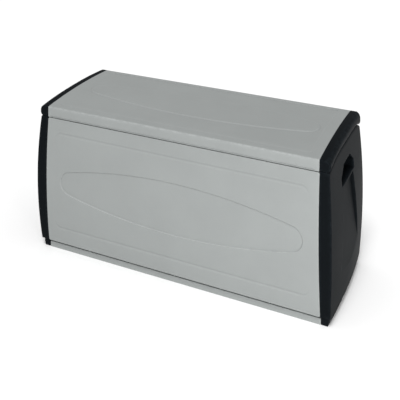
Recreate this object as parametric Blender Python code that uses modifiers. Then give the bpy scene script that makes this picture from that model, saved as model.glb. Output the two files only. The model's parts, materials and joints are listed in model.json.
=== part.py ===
"""Deck storage box in moulded resin, modelled in metres with +Z up.

Two grey panels, a grey floor tray and two black ends make the box.  A grey lid with
two black end caps turns on three pinned hinges along the back.
The origin lies on the ground under the middle of the box; the front looks along -Y.
"""
import math

import bmesh
import bpy
from mathutils import Matrix, Vector

OBJECT_NAME = "deck_storage_box"

# Driving dimensions of the outside
PANEL_HALF = 0.548        # half length of the grey panels, between the black ends
END_REACH = 0.034         # how far an end's corners reach past the grey panels
END_X = PANEL_HALF + END_REACH
SIDE_SWELL = 0.0100       # how far an end swells at half its height
PLAN_SWELL = 0.0105       # how far an end swells between its front and back corners
WALL_Y = 0.217            # half depth of the box at the seam under the lid
BOW = 0.0157              # how far the front and back swell at half their height
FOOT_IN = 0.005           # how far the foot of a wall stands in from its top
SEAM = 0.516              # height of the seam between the box and its lid
WALL_FOOT = 0.0295        # height of the lower edge of the walls
ARCH = 0.0215             # rise of the seam at the middle of an end
BAND = 0.0405             # height of the upright band along the lid's front
CREASE = SEAM + BAND
REAR_RISE = 0.012         # how much higher the lid's back edge is than its front edge
CROWN = 0.0096            # how far the lid's top swells above a flat sheet
LID_PROUD = 0.0015        # how far the lid's front band stands before the wall
CAP_REACH = 0.038         # how far a lid cap reaches past the lid's grey panel
CAP_X = PANEL_HALF + CAP_REACH
EDGE_R = 0.006            # rounding of the outer edges
CAP_R = 0.010             # rounding of the caps' outer edges

# Walls and clearances
WALL = 0.0035             # thickness of every moulded wall
GAP = 0.0003              # gap between pieces that touch
FLANGE = 0.018            # depth of the flange round the front and back panels
LIP_RISE = 0.008          # height of the rain lip above the seam
LIP_WALL = 0.003
LIP_GAP = 0.0015          # gap between the rain lip and the lid's skirt
CHANNEL_WALL = 0.003      # strip that holds a panel's flange inside an end
CHANNEL_REACH = 0.013     # how far that strip reaches behind the panel
CHANNEL_GAP = 0.001       # play of a panel's flange in its channel

# Base
PLINTH_SETBACK = 0.0138   # how far the plinth stands behind the wall at the seam
RAIL_Y = WALL_Y - PLINTH_SETBACK
FLOOR_TOP = WALL_FOOT - GAP
FOOT_REACH = 0.028        # how far a base end reaches past the grey panels
FOOT_X = PANEL_HALF + FOOT_REACH
FOOT_DRAFT = 0.005        # how much narrower a base end is at the ground
RIM_GAP = 0.001           # gap between a base end's rim and the end above it
CAP_GAP = 0.0015          # gap between a lid cap's rim and the end under it
RIB_WALL = 0.003
FLOOR_CROSS_RIBS = 5
LID_RIBS = 5
LID_RIB_RISE = 0.018      # height of the lid's ribs above the seam

# Hand grips
GRIP_HIGH = SEAM - 0.038  # height of the grip's ceiling
GRIP_SHOULDER = GRIP_HIGH - 0.033
GRIP_LOW = GRIP_SHOULDER - 0.030
GRIP_HALF = 0.086         # half width at the sill
GRIP_TOP_HALF = 0.046     # half width at the ceiling
GRIP_DEPTH = 0.034        # depth of the grip behind the skin
SCOOP_LOW = WALL_FOOT + 0.0905
SCOOP_LOW_HALF = 0.122
SCOOP_HIGH_HALF = 0.068
SCOOP_DEPTH = 0.011       # depth of the scoop just under the sill
SILL = 0.005              # height of the ridge between the scoop and the grip

# Hinges
HINGE_STATIONS = (-0.36, 0.0, 0.36)
HINGE_HALF = 0.030        # half width of a leaf
LEAF = 0.003              # thickness of a leaf
KNUCKLE_R = 0.006
KNUCKLE_SPLIT = 0.0100    # half width of the lid leaf's knuckle
KNUCKLE_GAP = 0.0005
LEAF_START = 0.008        # height between the hinge line and a leaf's plate
BODY_LEAF_END = 0.040
LID_LEAF_END = 0.034
ARM_LAP = 0.006           # how far a knuckle's arm laps its leaf's plate
ARM_INSET = 0.001         # how far that arm stands off the wall side of the plate
PIN_R = 0.0025
PIN_HEAD_R = 0.0042
PIN_HEAD = 0.002
HINGE_Y = WALL_Y + GAP + KNUCKLE_R + KNUCKLE_GAP
HINGE_Z = SEAM

# Screws
SHANK_R = 0.002
HEAD_R = 0.0042
HEAD_H = 0.0024
HEAD_FLAT = 0.6           # share of a head's width that is flat on top
HEAD_EDGE = 0.4           # share of a head's height that is its upright edge
HOLE_GAP = 0.0003
BOSS_R = 0.0055
BOSS_DEPTH = 0.009
SCREW_LENGTH = 0.010
LEAF_SCREW_X = 0.019      # distance of a leaf's screws from its middle
BODY_SCREW_DROP = 0.024   # height of those screws from the hinge line
LID_SCREW_RISE = 0.021
CAP_SCREW_X = PANEL_HALF - 0.020
CAP_SCREW_Y = 0.125
TONGUE_HALF = 0.020
TONGUE_X = PANEL_HALF - 0.032
TONGUE_Z = SEAM + 0.024
TONGUE_WALL = 0.004
BASE_SCREW_X = PANEL_HALF + 0.015
BASE_SCREW_Y = 0.130
BASE_BOSS_R = 0.0075
BASE_SEAT = 0.016         # height of the seat for a base screw's head
BASE_SCREW_LENGTH = 0.022

LEVELS = 10               # bands in which the walls' bow is drawn
FACING = 0.99             # cosine above which a face looks in a direction
COLUMN_SHARES = (0.28, 0.52, 0.72, 0.87)
ROUND_STEPS = 12
EDGE_STEPS = 2

GREY = (0.33, 0.345, 0.345, 1.0)
BLACK = (0.012, 0.013, 0.015, 1.0)
STEEL = (0.62, 0.62, 0.60, 1.0)


def clear_scene():
    """Remove every object that the scene holds."""
    for item in list(bpy.data.objects):
        bpy.data.objects.remove(item, do_unlink=True)


def add_collection(name):
    """Make a collection and link it to the scene."""
    made = bpy.data.collections.new(name)
    bpy.context.scene.collection.children.link(made)
    return made


def resin(name, colour, roughness=0.5, metallic=0.0):
    """One Principled material for one part."""
    material = bpy.data.materials.new(name)
    material.use_nodes = True
    shader = material.node_tree.nodes["Principled BSDF"]
    shader.inputs["Base Color"].default_value = colour
    shader.inputs["Roughness"].default_value = roughness
    shader.inputs["Metallic"].default_value = metallic
    return material


clear_scene()
PARTS = add_collection(OBJECT_NAME)
CUTTERS = add_collection("cutters")


def add_part(name, bm, colour, roughness=0.5, metallic=0.0):
    """Turn a bmesh into a named part with its own material."""
    mesh = bpy.data.meshes.new(name)
    bm.to_mesh(mesh)
    bm.free()
    mesh.materials.append(resin(name, colour, roughness, metallic))
    part = bpy.data.objects.new(name, mesh)
    PARTS.objects.link(part)
    return part


def add_tool(name, bm):
    """Turn a bmesh into a helper that a Boolean uses."""
    mesh = bpy.data.meshes.new(name)
    bm.to_mesh(mesh)
    bm.free()
    tool = bpy.data.objects.new(name, mesh)
    tool.hide_render = True
    tool.display_type = 'WIRE'
    CUTTERS.objects.link(tool)
    return tool


def combine(part, tool, operation, solver):
    """Join a helper to a part, or cut it out of the part."""
    step = part.modifiers.new(tool.name, 'BOOLEAN')
    step.operation = operation
    step.solver = solver
    step.object = tool


def join(part, name, bm):
    """Join the solids in a bmesh to a part."""
    combine(part, add_tool(name, bm), 'UNION', 'EXACT')


def cut(part, name, bm, solver='EXACT'):
    """Cut the solids in a bmesh out of a part."""
    combine(part, add_tool(name, bm), 'DIFFERENCE', solver)


def thicken(part, thickness):
    """Give an open skin its wall, inward from its outer face."""
    step = part.modifiers.new("wall", 'SOLIDIFY')
    step.thickness = thickness
    step.offset = -1.0
    step.use_even_offset = True


def share(value, low, high):
    """Where a value lies between two others, from 0 to 1."""
    return min(max((value - low) / (high - low), 0.0), 1.0)


def bowed(point):
    """Move a point of the straight-sided box to its place on the bowed one."""
    height = share(point.z, WALL_FOOT, SEAM)
    swell = 4.0 * height * (1.0 - height)
    depth = point.y / WALL_Y
    outward = share(abs(point.x), PANEL_HALF, END_X)
    plan = (1.0 - min(depth * depth, 1.0)) * (1.0 - height * height)
    side = math.copysign(outward, point.x) * (SIDE_SWELL * swell + PLAN_SWELL * plan)
    front = depth * (BOW * swell - FOOT_IN * (1.0 - height))
    return Vector((point.x + side, point.y + front, point.z))


def arch(y):
    """Rise of the seam over an end, at a distance from the middle."""
    return ARCH * (1.0 - min(abs(y / WALL_Y), 1.0) ** 4)


def lid_rise(y):
    """Height of the lid's top over its front edge."""
    along = share(y, -WALL_Y - LID_PROUD, WALL_Y)
    return REAR_RISE * along + CROWN * 4.0 * along * (1.0 - along)


def wall_levels(low, high):
    """Heights between two others where the bow bends."""
    step = (SEAM - WALL_FOOT) / LEVELS
    heights = [WALL_FOOT + step * number for number in range(1, LEVELS)]
    return [height for height in heights if low + GAP < height < high - GAP]


def columns():
    """Stations from front to back where the lid and the ends bend."""
    steps = [WALL_Y * part for part in COLUMN_SHARES]
    return [-step for step in reversed(steps)] + [0.0] + steps


def slice_at(bm, axis, places):
    """Cut a bmesh across one axis at each of the given places."""
    for place in places:
        point = [0.0, 0.0, 0.0]
        normal = [0.0, 0.0, 0.0]
        point[axis] = place
        normal[axis] = 1.0
        everything = bm.verts[:] + bm.edges[:] + bm.faces[:]
        bmesh.ops.bisect_plane(bm, geom=everything, plane_co=point, plane_no=normal)


def block(low, high, levels=(), stations=()):
    """A box between two corners, cut at some heights and stations in depth."""
    bm = bmesh.new()
    add_block(bm, low, high)
    slice_at(bm, 2, levels)
    slice_at(bm, 1, stations)
    return bm


def add_block(bm, low, high):
    """Add a box between two corners to a bmesh."""
    low, high = Vector(map(min, low, high)), Vector(map(max, low, high))
    place = Matrix.Translation((low + high) / 2) @ Matrix.Diagonal((*(high - low), 1.0))
    bmesh.ops.create_cube(bm, size=1.0, matrix=place)


def add_copy(bm, other):
    """Move the solids of another bmesh into this one."""
    mesh = bpy.data.meshes.new("copy")
    other.to_mesh(mesh)
    other.free()
    bm.from_mesh(mesh)
    bpy.data.meshes.remove(mesh)


def add_rod(bm, start, end, radius, end_radius=None):
    """Add a round bar between two points to a bmesh."""
    start, end = Vector(start), Vector(end)
    turn = (end - start).to_track_quat('Z', 'Y').to_matrix().to_4x4()
    place = Matrix.Translation((start + end) / 2) @ turn
    bmesh.ops.create_cone(bm, cap_ends=True, segments=ROUND_STEPS, radius1=radius,
                          radius2=end_radius or radius, depth=(end - start).length,
                          matrix=place)


def move_points(bm, place):
    """Put every point of a bmesh where a function says."""
    for vertex in bm.verts:
        vertex.co = place(vertex.co)


def open_side(bm, direction):
    """Take away the faces that look in one direction."""
    direction = Vector(direction)
    faces = [face for face in bm.faces if face.normal.dot(direction) > FACING]
    bmesh.ops.delete(bm, geom=faces, context='FACES')


def round_edges(bm, chosen, radius):
    """Round the edges whose two ends a test accepts."""
    edges = [edge for edge in bm.edges if all(chosen(vertex.co) for vertex in edge.verts)]
    bmesh.ops.bevel(bm, geom=edges, offset=radius, segments=EDGE_STEPS, profile=0.5,
                    affect='EDGES', material=-1)


def near(value, target):
    """Whether two lengths are the same."""
    return abs(value - target) < 1e-6


def make_long_wall(name, side):
    """A grey front or back panel: a bowed skin with a flange all round."""
    low = (-PANEL_HALF, side * WALL_Y, WALL_FOOT)
    high = (PANEL_HALF, side * (WALL_Y - FLANGE), SEAM)
    bm = block(low, high, wall_levels(WALL_FOOT, SEAM))
    open_side(bm, (0.0, -side, 0.0))
    move_points(bm, bowed)
    wall = add_part(name, bm, GREY)
    thicken(wall, WALL)
    skirt = WALL_Y + (LID_PROUD if side < 0 else 0.0) - WALL
    lip = block((-PANEL_HALF + FLANGE, side * (skirt - LIP_GAP), SEAM - WALL / 2),
                (PANEL_HALF - FLANGE, side * (skirt - LIP_GAP - LIP_WALL), SEAM + LIP_RISE))
    join(wall, name + "_lip", lip)
    return wall


def wall_slope(height):
    """Lean of the outer face of a wall at a height, as depth over height."""
    step = 1e-4
    lower = bowed(Vector((0.0, WALL_Y, height - step)))
    upper = bowed(Vector((0.0, WALL_Y, height + step)))
    return (upper.y - lower.y) / (2.0 * step)


def make_floor():
    """The grey floor tray, whose front edge is the plinth under the front panel."""
    length = PANEL_HALF - GAP
    bm = block((-length, -RAIL_Y, 0.0), (length, RAIL_Y, FLOOR_TOP))
    open_side(bm, (0.0, 0.0, -1.0))
    floor = add_part("floor_panel", bm, GREY)
    thicken(floor, WALL)
    ribs = bmesh.new()
    rib_top = FLOOR_TOP - WALL / 2
    for number in range(1, FLOOR_CROSS_RIBS + 1):
        place = -length + 2.0 * length * number / (FLOOR_CROSS_RIBS + 1)
        add_block(ribs, (place - RIB_WALL / 2, -RAIL_Y + WALL / 2, GAP),
                  (place + RIB_WALL / 2, RAIL_Y - WALL / 2, rib_top))
    join(floor, "floor_cross_ribs", ribs)
    spine = block((-length + WALL / 2, -RIB_WALL / 2, 2 * GAP),
                  (length - WALL / 2, RIB_WALL / 2, rib_top - GAP))
    join(floor, "floor_spine", spine)
    return floor


def grip_outline(grow):
    """Outline of the grip's mouth in depth and height, drawn out by grow."""
    half = GRIP_HALF + grow
    top = GRIP_TOP_HALF + grow
    return [(-half, GRIP_LOW - grow), (half, GRIP_LOW - grow), (half, GRIP_SHOULDER),
            (top, GRIP_HIGH + grow), (-top, GRIP_HIGH + grow), (-half, GRIP_SHOULDER)]


def grip_solid(side, x_in, x_out, grow):
    """The grip's mouth as a prism between two distances from the middle."""
    bm = bmesh.new()
    ring = [bm.verts.new((side * x_in, y, z)) for y, z in grip_outline(grow)]
    mouth = bm.faces.new(ring)
    grown = bmesh.ops.extrude_face_region(bm, geom=[mouth])["geom"]
    moved = [item for item in grown if isinstance(item, bmesh.types.BMVert)]
    bmesh.ops.translate(bm, vec=(side * (x_out - x_in), 0.0, 0.0), verts=moved)
    bmesh.ops.recalc_face_normals(bm, faces=bm.faces[:])
    return bm


def skin_x(y, z):
    """Distance of an end's outer skin from the middle of the box."""
    return bowed(Vector((END_X, y, z))).x


def scoop_solid(side, depth, grow):
    """The wedge under the grip: deep at the sill, run out at its foot."""
    high = GRIP_LOW - SILL + grow
    low = SCOOP_LOW - grow
    bm = block((0.0, -1.0, low), (side, 1.0, high))
    outside = END_X + 4 * (SIDE_SWELL + PLAN_SWELL)
    for vertex in bm.verts:
        upper = near(vertex.co.z, high)
        half = (SCOOP_HIGH_HALF if upper else SCOOP_LOW_HALF) + grow
        middle = skin_x(0.0, vertex.co.z)
        inner = middle - depth if upper else middle - depth + SCOOP_DEPTH
        vertex.co.y = math.copysign(half, vertex.co.y)
        vertex.co.x = side * (inner if near(vertex.co.x, 0.0) else outside)
    return bm


def make_end(name, side):
    """A black end with its wrap-round edges, panel channels and hand grip."""
    inner = PANEL_HALF + GAP
    bm = block((side * inner, -WALL_Y, WALL_FOOT), (side * END_X, WALL_Y, SEAM),
               wall_levels(WALL_FOOT, SEAM), columns())
    round_edges(bm, lambda co: near(abs(co.x), END_X) and
                (near(abs(co.y), WALL_Y) or near(co.z, SEAM)), EDGE_R)
    open_side(bm, (-side, 0.0, 0.0))
    shoulder = wall_levels(WALL_FOOT, SEAM)[-1]

    def arched(point):
        lift = arch(point.y) * share(point.z, shoulder, SEAM)
        return bowed(point) + Vector((0.0, 0.0, lift))

    move_points(bm, arched)
    end = add_part(name, bm, BLACK)
    thicken(end, WALL)

    strip_y = WALL_Y - FLANGE - CHANNEL_GAP
    strips = bmesh.new()
    for face in (-1, 1):
        add_block(strips, (side * (PANEL_HALF - CHANNEL_REACH), face * strip_y,
                           WALL_FOOT + WALL + GAP),
                  (side * (END_X - WALL / 2), face * (strip_y - CHANNEL_WALL),
                   SEAM - WALL - GAP))
    slice_at(strips, 2, wall_levels(WALL_FOOT + WALL, SEAM - WALL))
    move_points(strips, bowed)
    join(end, name + "_channels", strips)

    mouth = skin_x(0.0, GRIP_LOW)
    outside = mouth + 2 * GRIP_DEPTH
    cup_back = mouth - GRIP_DEPTH
    join(end, name + "_cup", grip_solid(side, cup_back - WALL, mouth - 2 * WALL, WALL))
    ledge = grip_solid(side, mouth - 3 * WALL, skin_x(WALL_Y / 2, GRIP_LOW) - WALL / 2, WALL)
    join(end, name + "_mouth", ledge)
    scoop_back = scoop_solid(side, SCOOP_DEPTH + WALL, WALL)
    trim = skin_x(0.0, (WALL_FOOT + SEAM) / 2)
    for vertex in scoop_back.verts:
        limit = skin_x(vertex.co.y, vertex.co.z) - WALL / 2
        vertex.co.x = side * min(abs(vertex.co.x), max(limit, 0.0), trim)
    join(end, name + "_scoop_back", scoop_back)
    cut(end, name + "_scoop", scoop_solid(side, SCOOP_DEPTH, 0.0))
    cut(end, name + "_grip", grip_solid(side, cup_back, outside, 0.0))

    holes = bmesh.new()
    for face in (-1, 1):
        add_rod(holes, (side * BASE_SCREW_X, face * BASE_SCREW_Y, WALL_FOOT - WALL),
                (side * BASE_SCREW_X, face * BASE_SCREW_Y, WALL_FOOT + 2 * WALL),
                SHANK_R + HOLE_GAP)
    cut(end, name + "_screw_holes", holes)
    return end


def make_base_end(name, side):
    """A black base end: a drafted tray that stands on the ground under an end."""
    inner = PANEL_HALF + GAP
    rim = WALL_FOOT - RIM_GAP
    bm = block((side * inner, -RAIL_Y, 0.0), (side * FOOT_X, RAIL_Y, rim), (), columns())
    open_side(bm, (0.0, 0.0, 1.0))
    for vertex in bm.verts:
        draft = FOOT_DRAFT * (1.0 - share(vertex.co.z, 0.0, rim))
        place = bowed(Vector((vertex.co.x, vertex.co.y, WALL_FOOT)))
        outward = share(abs(vertex.co.x), inner, FOOT_X)
        vertex.co.x = place.x - side * draft * outward
    base = add_part(name, bm, BLACK)
    thicken(base, WALL)
    bosses = bmesh.new()
    seats = bmesh.new()
    bores = bmesh.new()
    for face in (-1, 1):
        middle = (side * BASE_SCREW_X, face * BASE_SCREW_Y)
        add_rod(bosses, (*middle, WALL / 2), (*middle, FLOOR_TOP), BASE_BOSS_R)
        add_rod(seats, (*middle, -WALL), (*middle, BASE_SEAT), HEAD_R + 2 * HOLE_GAP)
        add_rod(bores, (*middle, BASE_SEAT - WALL), (*middle, WALL_FOOT + WALL),
                SHANK_R + HOLE_GAP)
    join(base, name + "_bosses", bosses)
    cut(base, name + "_seats", seats)
    cut(base, name + "_bores", bores)
    return base


def lid_form(x_low, x_high, inset, bottom):
    """The lid's outer form between two stations, drawn in by inset."""
    front = -WALL_Y - LID_PROUD + inset
    rear = WALL_Y - inset
    top = CREASE - inset
    bm = block((x_low, front, bottom), (x_high, rear, top), (), columns())
    round_edges(bm, lambda co: near(co.z, top) and (near(co.y, front) or near(co.y, rear)),
                EDGE_R - inset)
    for vertex in bm.verts:
        vertex.co.z += lid_rise(vertex.co.y) * share(vertex.co.z, bottom, top)
    return bm


def make_lid():
    """The grey lid: a crowned channel with ribs, open at its ends for the caps."""
    length = PANEL_HALF - GAP
    bm = lid_form(-length, length, 0.0, SEAM + GAP)
    for direction in ((0.0, 0.0, -1.0), (1.0, 0.0, 0.0), (-1.0, 0.0, 0.0)):
        open_side(bm, direction)
    lid = add_part("lid_panel", bm, GREY)
    thicken(lid, WALL)
    inside = bmesh.new()
    for number in range(1, LID_RIBS + 1):
        place = -length + 2.0 * length * number / (LID_RIBS + 1)
        rib = lid_form(place - RIB_WALL / 2, place + RIB_WALL / 2, WALL / 2,
                       SEAM + LID_RIB_RISE)
        add_copy(inside, rib)
    holes = bmesh.new()
    for place in HINGE_STATIONS:
        for step in (-1, 1):
            x = place + step * LEAF_SCREW_X
            z = HINGE_Z + LID_SCREW_RISE
            add_rod(inside, (x, WALL_Y - WALL / 2, z), (x, WALL_Y - BOSS_DEPTH, z), BOSS_R)
            add_rod(holes, (x, WALL_Y + WALL, z),
                    (x, WALL_Y - BOSS_DEPTH - WALL, z), SHANK_R + HOLE_GAP)
    for side in (-1, 1):
        for face in (-1, 1):
            x = side * CAP_SCREW_X
            y = face * CAP_SCREW_Y
            top = CREASE + lid_rise(y) - WALL / 2
            add_rod(inside, (x, y, TONGUE_Z + TONGUE_WALL + GAP), (x, y, top), BOSS_R)
            add_rod(holes, (x, y, TONGUE_Z), (x, y, TONGUE_Z + TONGUE_WALL + SCREW_LENGTH),
                    SHANK_R + HOLE_GAP)
    join(lid, "lid_ribs_and_bosses", inside)
    cut(lid, "lid_screw_holes", holes, 'MANIFOLD')
    return lid


def make_cap(name, side):
    """A black lid cap with rounded outer edges and two tongues under the lid."""
    inner = PANEL_HALF + GAP
    bottom = SEAM + CAP_GAP
    front = -WALL_Y - LID_PROUD
    bm = block((side * inner, front, bottom), (side * CAP_X, WALL_Y, CREASE), (), columns())
    round_edges(bm, lambda co: near(abs(co.x), CAP_X) and
                (near(co.y, front) or near(co.y, WALL_Y) or near(co.z, CREASE)
                 or near(co.z, bottom)), CAP_R)
    open_side(bm, (-side, 0.0, 0.0))
    open_side(bm, (0.0, 0.0, -1.0))
    for vertex in bm.verts:
        upper = share(vertex.co.z, bottom, CREASE)
        vertex.co.z += upper * lid_rise(vertex.co.y) + (1.0 - upper) * arch(vertex.co.y)
    cap = add_part(name, bm, BLACK)
    thicken(cap, WALL)
    tongues = bmesh.new()
    holes = bmesh.new()
    for face in (-1, 1):
        add_block(tongues, (side * TONGUE_X, face * CAP_SCREW_Y - TONGUE_HALF, TONGUE_Z),
                  (side * (CAP_X - WALL / 2), face * CAP_SCREW_Y + TONGUE_HALF,
                   TONGUE_Z + TONGUE_WALL))
        add_rod(holes, (side * CAP_SCREW_X, face * CAP_SCREW_Y, TONGUE_Z - TONGUE_WALL),
                (side * CAP_SCREW_X, face * CAP_SCREW_Y, TONGUE_Z + 2 * TONGUE_WALL),
                SHANK_R + HOLE_GAP)
    join(cap, name + "_tongues", tongues)
    cut(cap, name + "_screw_holes", holes)
    return cap


def hinge_bore(name, part, station):
    """Bore a leaf's knuckles for the pin."""
    bore = bmesh.new()
    reach = 2 * HINGE_HALF
    add_rod(bore, (station - reach, HINGE_Y, HINGE_Z), (station + reach, HINGE_Y, HINGE_Z),
            PIN_R + GAP)
    cut(part, name + "_bore", bore)


def make_body_leaf(name, station):
    """The leaf on the back panel, with the two outer knuckles."""
    face = WALL_Y + GAP
    low = HINGE_Z - BODY_LEAF_END
    high = HINGE_Z - LEAF_START
    bm = block((station - HINGE_HALF, face, low), (station + HINGE_HALF, face + LEAF, high),
               wall_levels(low, high))
    move_points(bm, bowed)
    leaf = add_part(name, bm, BLACK)
    arms = bmesh.new()
    knuckles = bmesh.new()
    for step in (-1, 1):
        inner = station + step * (KNUCKLE_SPLIT + KNUCKLE_GAP)
        outer = station + step * (HINGE_HALF - GAP)
        add_block(arms, (inner + step * GAP, face + ARM_INSET, high - ARM_LAP),
                  (outer - step * GAP, face + LEAF - GAP, HINGE_Z))
        add_rod(knuckles, (inner, HINGE_Y, HINGE_Z), (outer, HINGE_Y, HINGE_Z), KNUCKLE_R)
    slice_at(arms, 2, wall_levels(high - ARM_LAP, HINGE_Z))
    move_points(arms, bowed)
    join(leaf, name + "_arms", arms)
    join(leaf, name + "_knuckles", knuckles)
    hinge_bore(name, leaf, station)
    holes = bmesh.new()
    for step in (-1, 1):
        seat, outward = body_screw_place(station + step * LEAF_SCREW_X)
        add_rod(holes, seat - outward * 3 * LEAF, seat + outward * LEAF, SHANK_R + HOLE_GAP)
    cut(leaf, name + "_screw_holes", holes)
    return leaf


def make_lid_leaf(name, station):
    """The leaf on the lid's back edge, with the middle knuckle."""
    face = WALL_Y + GAP
    low = HINGE_Z + LEAF_START
    high = HINGE_Z + LID_LEAF_END
    bm = block((station - HINGE_HALF, face, low), (station + HINGE_HALF, face + LEAF, high))
    leaf = add_part(name, bm, BLACK)
    split = KNUCKLE_SPLIT
    arm = block((station - split + GAP, face + ARM_INSET, HINGE_Z),
                (station + split - GAP, face + LEAF - GAP, low + ARM_LAP))
    join(leaf, name + "_arm", arm)
    knuckle = bmesh.new()
    add_rod(knuckle, (station - split, HINGE_Y, HINGE_Z), (station + split, HINGE_Y, HINGE_Z),
            KNUCKLE_R)
    join(leaf, name + "_knuckle", knuckle)
    hinge_bore(name, leaf, station)
    holes = bmesh.new()
    for step in (-1, 1):
        x = station + step * LEAF_SCREW_X
        z = HINGE_Z + LID_SCREW_RISE
        add_rod(holes, (x, WALL_Y - LEAF, z), (x, face + 2 * LEAF, z), SHANK_R + HOLE_GAP)
    cut(leaf, name + "_screw_holes", holes)
    return leaf


def turned(name, profile, colour, roughness, metallic):
    """A part turned about its own Z axis from a profile, listed from top to bottom."""
    bm = bmesh.new()
    points = [bm.verts.new((radius, 0.0, height)) for radius, height in profile]
    for upper, lower in zip(points, points[1:]):
        bm.edges.new((upper, lower))
    part = add_part(name, bm, colour, roughness, metallic)
    step = part.modifiers.new("turn", 'SCREW')
    step.steps = ROUND_STEPS
    step.render_steps = ROUND_STEPS
    step.use_merge_vertices = True
    step.merge_threshold = 0.00001
    step.use_smooth_shade = True
    return part


def point_along(part, place, outward):
    """Stand a turned part at a place with its top outward."""
    part.location = place
    part.rotation_mode = 'QUATERNION'
    part.rotation_quaternion = Vector(outward).to_track_quat('Z', 'Y')


def make_pin(name, station):
    """A steel hinge pin with a head at one end."""
    half = HINGE_HALF + KNUCKLE_GAP
    tip = PIN_R / 3
    profile = [(0.0, half + PIN_HEAD), (PIN_HEAD_R - tip, half + PIN_HEAD),
               (PIN_HEAD_R, half + PIN_HEAD - tip), (PIN_HEAD_R, half), (PIN_R, half),
               (PIN_R, -half + tip), (PIN_R - tip, -half), (0.0, -half)]
    pin = turned(name, profile, STEEL, 0.35, 1.0)
    point_along(pin, (station, HINGE_Y, HINGE_Z), (1.0, 0.0, 0.0))
    return pin


def make_screw(name, seat, outward, length):
    """A steel pan-head screw, seated on its head's flat side."""
    profile = [(0.0, HEAD_H), (HEAD_R * HEAD_FLAT, HEAD_H), (HEAD_R, HEAD_H * HEAD_EDGE),
               (HEAD_R, 0.0), (SHANK_R, 0.0), (SHANK_R, -length + SHANK_R),
               (SHANK_R / 3, -length), (0.0, -length)]
    screw = turned(name, profile, STEEL, 0.4, 1.0)
    outward = Vector(outward).normalized()
    point_along(screw, Vector(seat) + outward * GAP, outward)
    return screw


def body_screw_place(x):
    """Seat and outward direction of a screw through a body leaf."""
    z = HINGE_Z - BODY_SCREW_DROP
    outward = Vector((0.0, 1.0, -wall_slope(z))).normalized()
    return bowed(Vector((x, WALL_Y + GAP + LEAF, z))), outward


def fit_back_wall(wall):
    """Bosses and holes in the back panel for the hinge screws."""
    bosses = bmesh.new()
    holes = bmesh.new()
    for place in HINGE_STATIONS:
        for step in (-1, 1):
            seat, outward = body_screw_place(place + step * LEAF_SCREW_X)
            skin = seat - outward * (LEAF + GAP)
            add_rod(bosses, skin - outward * WALL / 2, skin - outward * BOSS_DEPTH, BOSS_R)
            add_rod(holes, skin + outward * WALL, skin - outward * (BOSS_DEPTH + WALL),
                    SHANK_R + HOLE_GAP)
    join(wall, "back_panel_bosses", bosses)
    cut(wall, "back_panel_screw_holes", holes)


def build():
    """Make every part of the box."""
    make_long_wall("front_panel", -1)
    fit_back_wall(make_long_wall("back_panel", 1))
    make_floor()
    make_lid()
    for word, side in (("left", -1), ("right", 1)):
        make_end("end_panel_" + word, side)
        make_base_end("base_end_" + word, side)
        make_cap("lid_cap_" + word, side)
        for depth, face in (("front", -1), ("rear", 1)):
            make_screw(f"cap_screw_{word}_{depth}",
                       (side * CAP_SCREW_X, face * CAP_SCREW_Y, TONGUE_Z),
                       (0.0, 0.0, -1.0), SCREW_LENGTH)
            make_screw(f"base_screw_{word}_{depth}",
                       (side * BASE_SCREW_X, face * BASE_SCREW_Y, BASE_SEAT),
                       (0.0, 0.0, -1.0), BASE_SCREW_LENGTH)
    for word, station in zip(("left", "middle", "right"), HINGE_STATIONS):
        make_body_leaf("hinge_body_leaf_" + word, station)
        make_lid_leaf("hinge_lid_leaf_" + word, station)
        make_pin("hinge_pin_" + word, station)
        for letter, step in (("a", -1), ("b", 1)):
            x = station + step * LEAF_SCREW_X
            seat, outward = body_screw_place(x)
            make_screw(f"hinge_body_screw_{word}_{letter}", seat, outward, SCREW_LENGTH)
            make_screw(f"hinge_lid_screw_{word}_{letter}",
                       (x, WALL_Y + GAP + LEAF, HINGE_Z + LID_SCREW_RISE),
                       (0.0, 1.0, 0.0), SCREW_LENGTH)


build()
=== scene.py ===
"""Deck storage box in moulded resin: its finished surfaces, materials and studio.

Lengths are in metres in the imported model's frame: +Z up, the front along -Y and the
origin on the floor under the middle of the box.
"""

import json
import math

import bmesh
import bpy
from mathutils import Matrix, Vector


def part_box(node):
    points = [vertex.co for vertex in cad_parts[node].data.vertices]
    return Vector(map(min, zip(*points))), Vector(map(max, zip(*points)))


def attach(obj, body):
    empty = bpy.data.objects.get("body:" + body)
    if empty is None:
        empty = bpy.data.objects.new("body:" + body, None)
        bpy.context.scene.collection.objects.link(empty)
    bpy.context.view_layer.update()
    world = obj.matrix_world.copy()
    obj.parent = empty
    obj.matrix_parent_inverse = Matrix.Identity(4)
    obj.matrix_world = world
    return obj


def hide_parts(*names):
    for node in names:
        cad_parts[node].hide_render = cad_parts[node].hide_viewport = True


bl_info = {
    "name": "Deck Storage Box",
    "version": (1, 0, 0),
    "blender": (4, 5, 0),
    "location": "View3D > Sidebar > Deck Box",
    "description": "Finished surfaces, materials and studio for a resin deck storage box",
    "category": "Object",
}

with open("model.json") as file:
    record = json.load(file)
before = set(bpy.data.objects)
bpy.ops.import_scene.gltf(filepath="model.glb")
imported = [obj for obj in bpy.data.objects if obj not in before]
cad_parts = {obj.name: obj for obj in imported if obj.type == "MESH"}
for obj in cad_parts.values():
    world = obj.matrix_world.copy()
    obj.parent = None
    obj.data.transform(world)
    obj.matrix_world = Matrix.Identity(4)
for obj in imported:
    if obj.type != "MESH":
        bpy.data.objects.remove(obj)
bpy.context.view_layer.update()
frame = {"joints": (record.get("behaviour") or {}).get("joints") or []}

# Outside form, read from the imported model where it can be
GAP = 0.0003              # gap between pieces that touch
WALL = 0.0035             # thickness of every moulded wall
HINGE_LINE = Vector(frame["joints"][0]["pos_m"])
PANEL_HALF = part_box("front_panel")[1].x
WALL_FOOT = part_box("front_panel")[0].z
SEAM = HINGE_LINE.z
LID_PROUD = 0.0015        # how far the lid's front band stands before the wall
WALL_Y = -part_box("lid_panel")[0].y - LID_PROUD
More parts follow.
